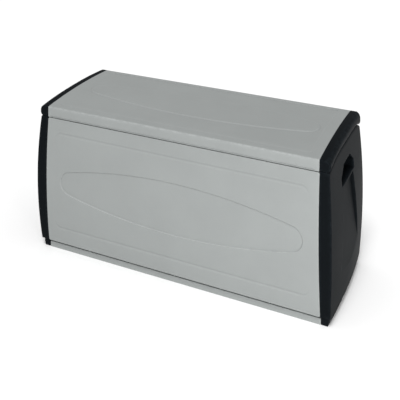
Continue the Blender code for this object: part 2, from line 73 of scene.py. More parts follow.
END_REACH = 0.034         # how far an end's corners reach past the grey panels
END_X = PANEL_HALF + END_REACH
CAP_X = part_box("lid_cap_right")[1].x
RAIL_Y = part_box("floor_panel")[1].y
FLOOR_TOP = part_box("floor_panel")[1].z
SIDE_SWELL = 0.0098       # how far an end swells at half its height
PLAN_SWELL = 0.0105       # how far an end swells between its front and back corners
BOW = 0.0155              # how far the front and back swell at half their height
FOOT_IN = 0.005           # how far the foot of a wall stands in from its top
ARCH = 0.0215             # rise of the seam at the middle of an end
BAND = 0.0405             # height of the upright band along the lid's front
CREASE = SEAM + BAND
REAR_RISE = 0.012         # how much higher the lid's back edge is than its front edge
CROWN = 0.0095            # how far the lid's top swells above a flat sheet
LIFT_START = SEAM - 0.075  # height where an end's top begins to arch

# Walls, channels and lips
FLANGE = 0.018            # depth of the flange round the front and back panels
REBATE = 0.012            # depth of the open joint over those panels
LIP_RISE = 0.008          # height of the rain lip above the seam
LIP_WALL = 0.003
LIP_GAP = 0.0015          # gap between the rain lip and the lid's skirt
CHANNEL_WALL = 0.003      # strip that holds a panel's flange inside an end
CHANNEL_REACH = 0.013     # how far that strip reaches behind the panel
CHANNEL_GAP = 0.001       # play of a panel's flange in its channel
LEDGE_HEIGHT = 3.7        # height of the floor tray's ledge, in seam gaps
LEDGE_DEPTH = 0.009
TRAY_CORNER = 0.003
TRAY_SUNK = 0.0015        # how far the tray's field is sunk
RIM_TURN = 0.0006         # how far a free rim is turned in
RIB_WALL = 0.003
RIB_ROUND = 0.0005
FLOOR_CROSS_RIBS = 5
LID_RIBS = 5
LID_RIB_RISE = 0.018      # height of the lid's ribs above the seam
LID_END_DROP = 0.012      # depth of the lid's flange beside the caps
LID_ROLLS = (0.0050, 0.0060)  # rounding of the lid's front and back edges
LID_CORNER = 0.0014
LID_END_ROLL = 0.0009     # rounding of the lid's edges beside the caps
LID_RIM_TURN = 0.0012     # how far the lower rim of the lid's band is turned in
CAP_ROLLS = (0.0135, 0.0190)  # rounding of a lid cap's nose, below and above
CAP_SIDE_ROLL = 0.006     # rounding of a lid cap's front and back corners
CAP_GAP = 0.0015          # gap between a lid cap's rim and the end under it

# Relief: an oval has its middle, half length, half height and the radius of its tips
FIELD_SIDE = 0.036        # border of a wall's field beside the black ends
FIELD_FOOT = 1.2          # border below that field, in field margins
FIELD_CORNER = 0.026
WALL_OVAL = ((0.006, 0.2775), 0.487, 0.0935, 0.045)
LID_FIELD = (0.029, 0.034, 0.032, 0.034)  # borders at the lid's front, right, back and left
LID_FIELD_CORNER = 0.022
LID_OVAL = ((0.005, -0.003), 0.482, 0.092, 0.045)
LID_GROOVE = 1.8          # depth of the lid's groove, in groove depths
LID_SLOPE = 1.6           # width of the slope round the lid's oval, in oval slopes
LINE_PARTS = (-0.35, -0.1, 0.0, 0.14, 0.28, 0.42, 0.58, 0.72, 0.86, 1.0, 1.1, 1.35)
STEEP_PART = 0.14         # share of the lid groove's width in which it drops

# Hand grips
GRIP_HIGH = SEAM - 0.038  # height of the grip's ceiling
GRIP_SHOULDER = GRIP_HIGH - 0.033
GRIP_LOW = GRIP_SHOULDER - 0.030
GRIP_HALF = 0.086         # half width at the sill
GRIP_TOP_HALF = 0.046     # half width at the ceiling
GRIP_DEPTH = 0.034        # depth of the grip behind the skin
POCKET_STEPS = ((0.35, 1.0), (0.72, 0.995), (0.9, 0.985), (1.0, 0.95))  # depth and width
SCOOP_LOW = WALL_FOOT + 0.0905
SCOOP_LOW_HALF = 0.122
SCOOP_HIGH_HALF = 0.068
SCOOP_DEPTH = 0.011       # depth of the scoop just under the sill
SCOOP_WALL = 0.0045       # width of the scoop's sloping side
SILL = 0.005              # height of the ridge between the scoop and the grip
MOUTH_ROUND = 0.0020      # rounding of the grip's mouth
SCOOP_LINES = (0.002, 0.0, -0.0011, -0.0022, -0.0033, -0.0045, -0.0065)
MOUTH_LINES = (0.0045, 0.0020, 0.0013, 0.0007, 0.00025, 0.0)
END_CORNER = 0.0035       # corner radius of an end's outline
END_FOOT_ROLL = 0.003     # rounding of an end's lower edge
END_TOP_ROLL = 0.0075     # rounding of its top edge

# Base ends
FOOT_X = PANEL_HALF + 0.028
FOOT_DRAFT = 0.005        # how much narrower a base end is at the ground
FOOT_ROUND = 0.0022
RIM_GAP = 0.001           # gap between a base end's rim and the end above it
BASE_SCREW = (PANEL_HALF + 0.015, 0.130, 0.016)

# Hinges and screws
HINGE_STATIONS = {word: sum(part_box("hinge_lid_leaf_" + word), Vector()).x / 2
                  for word in ("left", "middle", "right")}
HINGE_HALF = 0.030        # half width of a leaf
LEAF = 0.003              # thickness of a leaf
LEAF_ROUND = 0.0009       # softening of its edges
ARM_LAP = 0.004           # how far a knuckle's arm laps its leaf
KNUCKLE_R = 0.006
KNUCKLE_SPLIT = 0.0100    # half width of the lid leaf's knuckle
KNUCKLE_GAP = 0.0005
LEAF_START = 0.008        # height between the hinge line and a leaf's plate
BODY_LEAF_END = 0.040
LID_LEAF_END = 0.034
LEAF_SCREW_X = 0.019      # distance of a leaf's screws from its middle
BODY_SCREW_DROP = 0.024   # height of those screws from the hinge line
LID_SCREW_RISE = 0.021
PIN_R = 0.0025
PIN_HEAD_R = 0.0042
PIN_HEAD = 0.002
SHANK_R = 0.002
HEAD_R = 0.0042
HEAD_H = 0.0024
BOSS_R = 0.0055
BOSS_DEPTH = 0.009
BAR_ROUND = 0.0006        # softening of a knuckle's or a boss's rims
SCREW_LENGTH = 0.010
BASE_SCREW_LENGTH = 0.022
THREAD_PITCH = 0.0011     # distance between the ridges round a shank
THREAD_RIDGE = 0.00025
CAP_SCREW = (PANEL_HALF - 0.020, 0.125, SEAM + 0.024)
TONGUE_X = PANEL_HALF - 0.032
TONGUE_HALF = 0.020
TONGUE_WALL = 0.004
TONGUE_ROUND = 0.0007     # softening of tongues, lips and channel strips

# How finely things are drawn: steps along a frame's long side, corner and short side
WIDE_COUNTS = (64, 6, 14)
SQUARE_COUNTS = (40, 5, 40)
CAP_COUNTS = (56, 6, 8)
SCREW_COUNTS = (6, 3, 6)
ROLL_STEPS = 6
HALF_TURN = math.pi
QUARTER_TURN = math.pi / 2
SHARP_ANGLE = math.radians(38)

# Studio: the camera's film plane is upright, with the middle of its view below the horizon
CAMERA_PLACE = (1.2314, -2.6229, 1.679)
CAMERA_YAW = math.radians(-24.98)
CAMERA_LENS = 75.2
FILM_WIDTH = 36.0
FILM_DROP = 0.50866       # how far the view's middle lies below the horizon, per unit ahead
FLOOR_HALF = 60.0
KEY_PLACE = (1.6, -1.7, 0.42)
KEY_TARGET = (0.45, -0.2, 0.28)
KEY_SIZE = 0.5
SUN_PLACE = (0.3, -1.5, 3.0)
SUN_TARGET = (0.0, 0.0, 0.2)
SUN_ANGLE = 0.4


# ---------------------------------------------------------------- sizes and colours

class ReliefSizes(bpy.types.PropertyGroup):
    """Sizes of the moulded relief and rounding."""
    edge_round: bpy.props.FloatProperty(
        name="Panel edge", description="Rounding of the grey panels' edges",
        default=0.0026, min=0.0005, max=0.006, unit='LENGTH')
    corner_round: bpy.props.FloatProperty(
        name="Panel corner", description="Corner radius of the front and back panels",
        default=0.006, min=0.001, max=0.02, unit='LENGTH')
    field_margin: bpy.props.FloatProperty(
        name="Field margin", description="Border between a panel's side and its field",
        default=0.054, min=0.02, max=0.1, unit='LENGTH')
    groove_width: bpy.props.FloatProperty(
        name="Groove width", description="Width of the groove round a panel's field",
        default=0.016, min=0.004, max=0.03, unit='LENGTH')
    groove_depth: bpy.props.FloatProperty(
        name="Groove depth", description="Depth of the groove round a panel's field",
        default=0.0014, min=0.0, max=0.003, unit='LENGTH')
    oval_step: bpy.props.FloatProperty(
        name="Oval step", description="How far the long ovals are sunk or raised",
        default=0.0029, min=0.0, max=0.004, unit='LENGTH')
    oval_slope: bpy.props.FloatProperty(
        name="Oval slope", description="Width of the slope round an oval",
        default=0.004, min=0.002, max=0.02, unit='LENGTH')
    seam_gap: bpy.props.FloatProperty(
        name="Seam gap", description="Height of the open joint under the lid and the walls",
        default=0.0023, min=0.0005, max=0.004, unit='LENGTH')
    strip_round: bpy.props.FloatProperty(
        name="Strip edge", description="Rounding of the ends' front and back corners",
        default=0.0035, min=0.001, max=0.01, unit='LENGTH')


class FinishColours(bpy.types.PropertyGroup):
    """Colours and surface of the mouldings and the metal."""
    grey: bpy.props.FloatVectorProperty(
        name="Grey resin", description="Colour of the panels, the floor and the lid",
        default=(0.282, 0.297, 0.293), size=3, min=0.0, max=1.0, subtype='COLOR')
    black: bpy.props.FloatVectorProperty(
        name="Black resin", description="Colour of the ends, the caps and the hinges",
        default=(0.0048, 0.0062, 0.0074), size=3, min=0.0, max=1.0, subtype='COLOR')
    steel: bpy.props.FloatVectorProperty(
        name="Zinc plate", description="Colour of the screws and the pins",
        default=(0.62, 0.62, 0.60), size=3, min=0.0, max=1.0, subtype='COLOR')
    grain: bpy.props.FloatProperty(
        name="Grain depth", description="Depth of the resin's fine moulded texture",
        default=0.00016, min=0.0, max=0.001, unit='LENGTH')


class StudioLight(bpy.types.PropertyGroup):
    """The floor and the lights round the box."""
    floor: bpy.props.FloatVectorProperty(
        name="Floor", description="Colour of the plain floor",
        default=(0.955, 0.955, 0.955), size=3, min=0.0, max=1.0, subtype='COLOR')
    sky: bpy.props.FloatProperty(
        name="Room light", description="Strength of the even light from all round",
        default=0.55, min=0.0, max=5.0)
    key: bpy.props.FloatProperty(
        name="Key light", description="Power of the soft light at the front right",
        default=16.0, min=0.0, max=1000.0, unit='POWER')
    sun: bpy.props.FloatProperty(
        name="Window light", description="Strength of the broad light from the front",
        default=2.0, min=0.0, max=10.0)


# ---------------------------------------------------------------- form of the box

def share(value, low, high):
    """Where a value lies between two others, from 0 to 1."""
    return min(max((value - low) / (high - low), 0.0), 1.0)


def eased(part):
    """A share that starts and ends level."""
    part = min(max(part, 0.0), 1.0)
    return part * part * (3.0 - 2.0 * part)


def bowed(x, y, z):
    """Move a point of the straight-sided box to its place on the bowed one."""
    height = share(z, WALL_FOOT, SEAM)
    swell = 4.0 * height * (1.0 - height)
    depth = y / WALL_Y
    outward = share(abs(x), PANEL_HALF, END_X)
    plan = (1.0 - min(depth * depth, 1.0)) * (1.0 - height * height)
    side = math.copysign(outward, x) * (SIDE_SWELL * swell + PLAN_SWELL * plan)
    front = depth * (BOW * swell - FOOT_IN * (1.0 - height))
    return Vector((x + side, y + front, z))


def arch(y):
    """Rise of the seam over an end, at a distance from the middle."""
    return ARCH * (1.0 - min(abs(y / WALL_Y), 1.0) ** 4)


def lid_rise(y):
    """Height of the lid's top over its front edge."""
    along = share(y, -WALL_Y - LID_PROUD, WALL_Y)
    return REAR_RISE * along + CROWN * 4.0 * along * (1.0 - along)


def end_lift(y, z):
    """How far a point of an end's skin is raised by the arch of its top."""
    part = share(z, LIFT_START, SEAM)
    return arch(y) * part * part


def flattened(y, z):
    """The straight-sided place of a point that lies on an end's bowed skin."""
    flat = Vector((y, z))
    for _ in range(4):
        made = bowed(END_X, flat.x, flat.y)
        flat += Vector((y - made.y, z - made.z - end_lift(flat.x, flat.y)))
    return flat


def wall_place(side):
    """Where a flat point of a long wall lies, for the front (-1) or the back (1)."""
    return lambda u, v, h: bowed(u, side * (WALL_Y + h), v)


def end_place(side):
    """Where a flat point of an end lies, for the left (-1) or the right (1)."""
    def place(u, v, h):
        made = bowed(END_X, u, v)
        return Vector((side * (made.x + h), made.y, made.z + end_lift(u, v)))
    return place


def rolled_drop(distance, radius):
    """How far a rolled edge has dropped at a distance from its outermost line."""
    inside = radius - min(max(distance, 0.0), radius)
    return radius - math.sqrt(radius * radius - inside * inside)


def lid_place(u, v, h):
    """Where a flat point of the lid lies; its front and back edges are rolled here."""
    front, rear = LID_ROLLS
    drop = rolled_drop(v + WALL_Y + LID_PROUD, front) + rolled_drop(WALL_Y - v, rear)
    level = CREASE + h - drop
    return Vector((u, v, level + lid_rise(v) * share(level, SEAM + GAP, CREASE - front)))


def cap_place(side):
    """Where a flat point of a lid cap lies; its nose is rolled above and below here."""
    bottom = SEAM + CAP_GAP
    reach = CAP_X - PANEL_HALF - GAP
    under, over = CAP_ROLLS

    def place(u, v, h):
        upper = share(v, bottom, CREASE)
        drop = rolled_drop(v - bottom, under) + rolled_drop(CREASE - v, over)
        x = CAP_X + h * (1.0 - drop / reach) - drop
        return Vector((side * x, u, v + upper * lid_rise(u) + (1.0 - upper) * arch(u)))
    return place


def floor_place(u, v, h):
    """Where a flat point of the floor tray lies."""
    return Vector((u, v, FLOOR_TOP + h))


# ---------------------------------------------------------------- outlines and rings

def arc(centre, radius, start, end, steps):
    """Points along an arc, with both its ends."""
    turns = [start + (end - start) * step / steps for step in range(steps + 1)]
    return [(centre[0] + radius * math.cos(turn), centre[1] + radius * math.sin(turn))
            for turn in turns]


def rounded_frame(low, high, radius, counts):
    """Points round a rectangle with round corners, from the left of its lower side."""
    long_steps, corner_steps, short_steps = counts
    inner_low = (low[0] + radius, low[1] + radius)
    inner_high = (high[0] - radius, high[1] - radius)
    centres = ((inner_high[0], inner_low[1]), inner_high, (inner_low[0], inner_high[1]), inner_low)
    corners = [arc(centre, radius, (quarter - 1) * QUARTER_TURN, quarter * QUARTER_TURN,
                   corner_steps) for quarter, centre in enumerate(centres)]
    points = []
    for quarter, corner in enumerate(corners):
        start = Vector(corners[quarter - 1][-1])
        end = Vector(corner[0])
        steps = short_steps if quarter % 2 else long_steps
        points += [tuple(start.lerp(end, step / steps)) for step in range(steps)]
        points += corner[:-1]
    return points


def side_values(sides, counts):
    """A value for each point of a frame, from its lower, right, upper and left sides."""
    long_steps, corner_steps, short_steps = counts
    values = []
    for number, value in enumerate(sides):
        change = sides[(number + 1) % 4] - value
        values += [value] * (short_steps if number % 2 else long_steps)
        values += [value + change * step / corner_steps for step in range(corner_steps)]
    return values


def long_oval(centre, half_length, half_height, tip, grow, counts):
    """Points round an oval of two long arcs and two round tips, drawn out by grow."""
    long_steps, corner_steps, short_steps = counts
    tip_steps = 2 * corner_steps + short_steps
    reach = half_length - tip
    radius = (half_height ** 2 - tip ** 2 + reach ** 2) / (2.0 * (half_height - tip))
    lift = radius - half_height
    turn = math.atan2(lift, reach)
    x, y = centre
    lower = arc((x, y + lift), radius + grow, turn - HALF_TURN, -turn, long_steps)
    right = arc((x + reach, y), tip + grow, -turn, turn, tip_steps)
    upper = arc((x, y - lift), radius + grow, turn, HALF_TURN - turn, long_steps)
    left = arc((x - reach, y), tip + grow, HALF_TURN - turn, HALF_TURN + turn, tip_steps)
    return lower[:-1] + right[:-1] + upper[:-1] + left[:-1]


def lifted(points, height):
    """A ring: the points of an outline, all at one height or each at its own."""
    heights = height if isinstance(height, list) else [height] * len(points)
    return [(*point, level) for point, level in zip(points, heights)]


def between(ring, other, count):
    """Evenly spaced rings between two rings, without either."""
    shares = [(number + 1) / (count + 1) for number in range(count)]
    return [[tuple(Vector(a).lerp(Vector(b), part)) for a, b in zip(ring, other)]
            for part in shares]


def inset_frame(low, high, radius, insets, counts):
    """A rounded frame drawn in by a distance at its lower, right, upper and left sides."""
    lower, right, upper, left = insets
    drawn = max(radius - sum(insets) / 4, radius / 5)
    return rounded_frame((low[0] + left, low[1] + lower), (high[0] - right, high[1] - upper),
                         drawn, counts)


def rolled_edge(low, high, radius, rolls, counts, dips=None):
    """Rings round the edge of a frame, each side rolled over with its own radius and dip."""
    rings = []
    for step in range(ROLL_STEPS + 1):
        turn = QUARTER_TURN * step / ROLL_STEPS
        insets = [roll * (1.0 - math.cos(turn)) for roll in rolls]
        depths = [-dip * (1.0 - math.sin(turn)) for dip in side_values(dips or rolls, counts)]
        rings.append(lifted(inset_frame(low, high, radius, insets, counts), depths))
    return rings


def field_outline(low, high, radius, margins, counts):
    """Outline of a panel's field, drawn out by a distance; half as much at its sides."""
    lower, right, upper, left = margins

    def outline(grow):
        return rounded_frame((low[0] + left - grow / 2, low[1] + lower - grow),
                             (high[0] - right + grow / 2, high[1] - upper + grow),
                             radius + grow / 2, counts)
    return outline


def relief(outline, width, height, weights=None):
    """Rings across a relief line: outline(grow) gives points, height(part) their level."""
    rings = []
    for part in LINE_PARTS:
        level = height(part)
        levels = [level * weight for weight in weights] if weights else level
        rings.append(lifted(outline((0.5 - part) * width), levels))
    return rings


def step_height(start, end):
    """Level across a rounded step."""
    return lambda part: start + (end - start) * eased(part)


def groove_height(depth):
    """Level across a round-bottomed groove."""
    return lambda part: -depth * math.sin(HALF_TURN * min(max(part, 0.0), 1.0)) ** 2


def lid_groove_height(depth):
    """Level across a groove that drops at once and rises gently towards the middle."""
    def height(part):
        dropped = min(max(part, 0.0) / STEEP_PART, 1.0)
        risen = eased((part - STEEP_PART) / (1.0 - STEEP_PART))
        return -depth * dropped * (1.0 - risen)
    return height


def ring_sheet(rings, counts, cap_start=False):
    """A sheet through nested rings, filled inside the last one with a grid."""
    bm = bmesh.new()
    loop = [bm.verts.new(point) for point in rings[0]]
    edges = [bm.edges.new(pair) for pair in zip(loop, loop[1:] + loop[:1])]
    if cap_start:
        bm.faces.new(loop)
    for ring in rings[1:]:
        grown = bmesh.ops.extrude_edge_only(bm, edges=edges)["geom"]
        fresh = {item for item in grown if isinstance(item, bmesh.types.BMVert)}
        loop = [next(edge.other_vert(vertex) for edge in vertex.link_edges
                     if edge.other_vert(vertex) in fresh) for vertex in loop]
        for vertex, point in zip(loop, ring):
            vertex.co = point
        edges = [bm.edges.get(pair) for pair in zip(loop, loop[1:] + loop[:1])]
    long_steps, corner_steps, short_steps = counts
    upper_start = long_steps + 2 * corner_steps + short_steps
    rails = edges[:long_steps] + edges[upper_start:upper_start + long_steps]
    bmesh.ops.grid_fill(bm, edges=rails)
    bmesh.ops.recalc_face_normals(bm, faces=bm.faces[:])
    return bm


# ---------------------------------------------------------------- mesh helpers

def put(bm, place):
    """Put every point of a bmesh where a function of its flat place says."""
    for vertex in bm.verts:
        vertex.co = place(*vertex.co)


def face_towards(bm, outward):
    """Turn all faces of an open sheet to one side: that of its area as a whole."""
    total = sum((face.normal * face.calc_area() for face in bm.faces), Vector())
    if total.dot(Vector(outward)) < 0.0:
        bmesh.ops.reverse_faces(bm, faces=bm.faces[:])


def thicken(bm, outward):
    """Give an open sheet its wall, inward from its outer face."""
    bm.normal_update()
    face_towards(bm, outward)
    bm.normal_update()
    inner = [(vertex, vertex.co - vertex.normal * WALL * min(vertex.calc_shell_factor(), 1.4))
             for vertex in bm.verts]
    bmesh.ops.extrude_face_region(bm, geom=bm.faces[:], use_keep_orig=True)
    for vertex, place in inner:
        vertex.co = place
    bmesh.ops.recalc_face_normals(bm, faces=bm.faces[:])
    if bm.calc_volume(signed=True) < 0.0:
        bmesh.ops.reverse_faces(bm, faces=bm.faces[:])


def block(low, high, rounding=0.0, slices=(), segments=2):
    """A box between two corners with softened edges, sliced for bending."""
    low, high = (Vector(map(pick, low, high)) for pick in (min, max))
    bm = bmesh.new()
    size = Matrix.Diagonal((*(high - low), 1.0))
    bmesh.ops.create_cube(bm, size=1.0, matrix=Matrix.Translation((low + high) / 2) @ size)
    if rounding:
        bmesh.ops.bevel(bm, geom=bm.edges[:], offset=rounding, segments=segments,
                        profile=0.5, affect='EDGES', material=-1)
    for axis, places in slices:
        for place in places:
            normal = Vector((0.0, 0.0, 0.0))
            normal[axis] = 1.0
            everything = bm.verts[:] + bm.edges[:] + bm.faces[:]
            bmesh.ops.bisect_plane(bm, geom=everything, plane_co=normal * place,
                                   plane_no=normal)
    return bm


def absorb(bm, other):
    """Move the solids of another bmesh into this one."""
    mesh = bpy.data.meshes.new("part")
    other.to_mesh(mesh)
    other.free()
    bm.from_mesh(mesh)
    bpy.data.meshes.remove(mesh)


def even_places(low, high, count):
    """Places that divide a length into equal stretches, without its ends."""
    return [low + (high - low) * number / (count + 1) for number in range(1, count + 1)]


def turned(profile, recess=0.0):
    """A turned solid along +Z from (radius, height) pairs, with a cross recess on top."""
    total = 2 * (SCREW_COUNTS[0] + SCREW_COUNTS[2]) + 4 * SCREW_COUNTS[1]
    turns = [2.0 * HALF_TURN * number / total for number in range(total)]
    rings = [[(radius * math.cos(turn), radius * math.sin(turn), height) for turn in turns]
             for radius, height in profile]
    if recess:
        top = profile[-1][1]
        arm = profile[-1][0] * 0.82
        half = arm * 0.26
        for height, scale in ((top, 1.0), (top - recess, 0.72)):
            rings.append([(scale * cross_radius(turn, arm, half) * math.cos(turn),
                           scale * cross_radius(turn, arm, half) * math.sin(turn), height)
                          for turn in turns])
    return ring_sheet(rings, SCREW_COUNTS, cap_start=True)


def cross_radius(turn, arm, half):
    """Distance from the middle of a cross to its outline in a direction."""
    across = max(abs(math.cos(turn)), 1e-6)
    along = max(abs(math.sin(turn)), 1e-6)
    return max(min(arm / across, half / along), min(half / across, arm / along))


def aim(bm, place, outward):
    """Stand a turned solid at a place with its top outward."""
    turn = Vector(outward).to_track_quat('Z', 'Y').to_matrix().to_4x4()
    bmesh.ops.transform(bm, matrix=Matrix.Translation(place) @ turn, verts=bm.verts[:])
    return bm


def rod(start, end, radius, rounding=0.0):
    """A round bar between two points, with softened rims where a rounding is given."""
    start = Vector(start)
    end = Vector(end)
    length = (end - start).length
    bevel = rounding * 0.3
    profile = [(radius - rounding, 0.0)]
    if rounding:
        profile += [(radius - bevel, bevel), (radius, rounding),
                    (radius, length - rounding), (radius - bevel, length - bevel)]
    else:
        profile += [(radius, length / 2)]
    profile += [(radius - rounding, length)]
    bm = turned(profile)
    return aim(bm, start, end - start)


def carve(piece, cutter_bm):
    """Cut the solids of a bmesh out of a finished piece."""
    mesh = bpy.data.meshes.new("cutter")
    cutter_bm.to_mesh(mesh)
    cutter_bm.free()
    cutter = bpy.data.objects.new("cutter", mesh)
    bpy.context.scene.collection.objects.link(cutter)
    step = piece.modifiers.new("seats", 'BOOLEAN')
    step.operation = 'DIFFERENCE'
    step.solver = 'EXACT'
    step.object = cutter
    graph = bpy.context.evaluated_depsgraph_get()
    cut_mesh = bpy.data.meshes.new_from_object(piece.evaluated_get(graph))
    piece.modifiers.clear()
    piece.data = cut_mesh
    bpy.data.objects.remove(cutter)
    bpy.data.meshes.remove(mesh)


def mark_edges(mesh):
    """Write how sharply each vertex stands out or lies in a crease, for edge wear with a painted
    highlight and for painted shade in creases.
    """
    bm = bmesh.new()
    bm.from_mesh(mesh)
    edge_layer = bm.verts.layers.float.new("edge")
    crease_layer = bm.verts.layers.float.new("crease")
    for vertex in bm.verts:
        bends = [edge.calc_face_angle_signed(0.0) for edge in vertex.link_edges]
        vertex[edge_layer] = share(max(bends, default=0.0), math.radians(4), math.radians(16))
        vertex[crease_layer] = share(-min(bends, default=0.0), math.radians(3), math.radians(14))
    bm.to_mesh(mesh)
    bm.free()


def make_piece(name, bm, finish, body, *nodes):
    """Turn a bmesh into a finished piece that rides on a body and replaces CAD nodes."""
    material, slot = finish
    mesh = bpy.data.meshes.new(name)
    bm.to_mesh(mesh)
    bm.free()
    mark_edges(mesh)
    mesh.materials.append(material)
    mesh.shade_smooth()
    mesh.set_sharp_from_angle(angle=SHARP_ANGLE)
    piece = bpy.data.objects.new(name, mesh)
    bpy.context.scene.collection.objects.link(piece)
    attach(piece, body)
    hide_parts(*nodes)
    return piece


# ---------------------------------------------------------------- materials

class Field:
    """A shader socket that takes part in Python's arithmetic."""

    def __init__(self, recipe, socket):
        self.recipe = recipe
        self.socket = socket

    def math(self, operation, first, second):
        """A new value from two others."""
        return self.recipe.node("ShaderNodeMath", {"operation": operation},
                                {0: first, 1: second})

    def __add__(self, other):
        return self.math('ADD', self, other)

    def __sub__(self, other):
        return self.math('SUBTRACT', self, other)

    def __rsub__(self, other):
        return self.math('SUBTRACT', other, self)

    def __mul__(self, other):
        return self.math('MULTIPLY', self, other)

    __radd__ = __add__
    __rmul__ = __mul__

    def within(self, low, high):
        """This value as a share of the way from one value to another, kept to 0 to 1."""
        return self.recipe.node("ShaderNodeMapRange", {"interpolation_type": 'SMOOTHSTEP'},
                                {"Value": self, "From Min": low, "From Max": high})


class Recipe:
    """Builds the nodes of one material."""

    def __init__(self, name):
        self.material = bpy.data.materials.new(name)
        self.material.use_nodes = True
        self.tree = self.material.node_tree
        self.tree.nodes.clear()

    def node(self, kind, settings, sockets, output=0):
        """Add a node, set it up, feed its sockets and give one of its outputs, if it has any."""
        made = self.tree.nodes.new(kind)
        for key, value in settings.items():
            setattr(made, key, value)
        for key, value in sockets.items():
            if isinstance(value, Field):
                self.tree.links.new(value.socket, made.inputs[key])
            else:
                made.inputs[key].default_value = value
        return Field(self, made.outputs[output]) if made.outputs else None

    def place(self):
        """Object coordinates."""
        return self.node("ShaderNodeTexCoord", {}, {}, "Object")

    def stretched(self, scale):
        """Object coordinates, stretched along the axes."""
        return self.node("ShaderNodeMapping", {}, {"Vector": self.place(), "Scale": scale})

    def noise(self, place, scale, detail=2.0, roughness=0.5):
        """A noise pattern from 0 to 1."""
        return self.node("ShaderNodeTexNoise", {}, {"Vector": place, "Scale": scale,
                                                    "Detail": detail, "Roughness": roughness})

    def marked(self, name):
        """A value written on the vertices."""
        return self.node("ShaderNodeAttribute", {"attribute_name": name}, {}, "Fac")

    def mixed(self, factor, first, second):
        """A colour between two colours."""
        return self.node("ShaderNodeMix", {"data_type": 'RGBA'},
                         {"Factor": factor, 6: first, 7: second}, 2)

    def bump(self, height, distance, strength=1.0):
        """A normal from a height pattern."""
        return self.node("ShaderNodeBump", {}, {"Height": height, "Distance": distance,
                                                "Strength": strength})

    def finish(self, sockets):
        """End the material in a Principled shader."""
        shader = self.node("ShaderNodeBsdfPrincipled", {}, sockets)
        self.node("ShaderNodeOutputMaterial", {}, {"Surface": shader})
        return self.material


def shade(colour, factor):
    """A colour made lighter or darker, as an RGBA value."""
    return (*[min(part * factor, 1.0) for part in colour], 1.0)


def resin_material(name, colour, roughness, shine, grain, wear_and_highlight_tint, wear_and_highlight_amount):
    """Moulded polypropylene: fine texture, slight mottling, scuffs, edges lightened for wear and as
    a painted highlight, creases darkened as painted shade.
    """
    recipe = Recipe(name)
    place = recipe.place()
    mottle = recipe.noise(place, 5.5, 4.0, 0.6)
    cloud = recipe.noise(place, 38.0, 3.0, 0.55)
    fine = recipe.noise(place, 1500.0, 2.0, 0.6)
    pits = recipe.noise(place, 520.0, 2.0, 0.5)
    scratches = recipe.noise(recipe.stretched((9.0, 60.0, 150.0)), 3.0, 4.0, 0.65)
    # Edges made lighter in colour: partly wear, strengthened as a painted highlight where rounded
    # edges catch light.
    rubbed_and_highlit = recipe.marked("edge") * recipe.noise(place, 90.0, 4.0, 0.7).within(0.36, 0.62)
    scuffed = scratches.within(0.66, 0.78) * cloud.within(0.45, 0.7)
    tone = recipe.mixed(mottle.within(0.25, 0.75), shade(colour, 0.965), shade(colour, 1.035))
    speckled = recipe.mixed(fine.within(0.3, 0.7) * 0.5, tone, shade(colour, 0.94))
    # Creases darkened in colour: painted shade where the hollows would lie in shadow.
    crease_shaded = recipe.mixed(recipe.marked("crease") * 0.22, speckled, shade(colour, 0.6))
    # The colour with edges lightened for wear and a painted highlight, over creases darkened as
    # painted shade.
    worn_highlit_shaded = recipe.mixed(rubbed_and_highlit * wear_and_highlight_amount + scuffed * (wear_and_highlight_amount * 0.35), crease_shaded,
                        shade(colour, wear_and_highlight_tint))
    rough = roughness + (mottle - 0.5) * 0.07 + scuffed * 0.10 - rubbed_and_highlit * 0.05
    height = fine * 0.55 + pits * 0.45 + scuffed * 0.5
    normal = recipe.bump(height, grain, 0.55)
    return recipe.finish({"Base Color": worn_highlit_shaded, "Roughness": rough, "Normal": normal,
                          "IOR": 1.49, "Specular IOR Level": shine})


def steel_material(name, colour):
    """Bright zinc plate on steel, with fine turning marks and dull spots."""
    recipe = Recipe(name)
    place = recipe.place()
    spots = recipe.noise(place, 420.0, 4.0, 0.65)
    marks = recipe.noise(recipe.stretched((1.0, 1.0, 14.0)), 900.0, 2.0, 0.5)
    tone = recipe.mixed(spots.within(0.35, 0.7), shade(colour, 0.82), shade(colour, 1.12))
    rough = 0.24 + spots * 0.20 + recipe.marked("edge") * 0.08
    return recipe.finish({"Base Color": tone, "Roughness": rough, "Metallic": 1.0,
                          "Normal": recipe.bump(marks, 0.00008, 0.5)})


def floor_material(colour):
    """Plain pale studio floor with a barely uneven matt surface."""
    recipe = Recipe("studio_floor")
    place = recipe.place()
    uneven = recipe.noise(place, 2.0, 3.0, 0.5)
    tone = recipe.mixed(uneven, shade(colour, 0.995), shade(colour, 1.005))
    return recipe.finish({"Base Color": tone, "Roughness": 0.85, "Specular IOR Level": 0.1})


FINISHES = {}


def load_finishes(colours):
    """Make the three finishes of the box once."""
    if FINISHES:
        return
    grain = colours.grain
    # The last two numbers set how much lighter edges are painted and how strongly: wear plus a
    # painted highlight.
    FINISHES["grey"] = (resin_material("grey_resin_finish", colours.grey, 0.47, 0.35, grain,
                                       1.4, 0.5), "grey_resin")
    FINISHES["black"] = (resin_material("black_resin_finish", colours.black, 0.48, 0.020, grain,
                                        4.0, 0.3), "black_resin")
    FINISHES["steel"] = (steel_material("zinc_plate_finish", colours.steel), "zinc_steel")


def finish_named(context, word):
    """One of the box's finishes."""
    load_finishes(context.scene.box_colours)
    return FINISHES[word]


# ---------------------------------------------------------------- the pieces

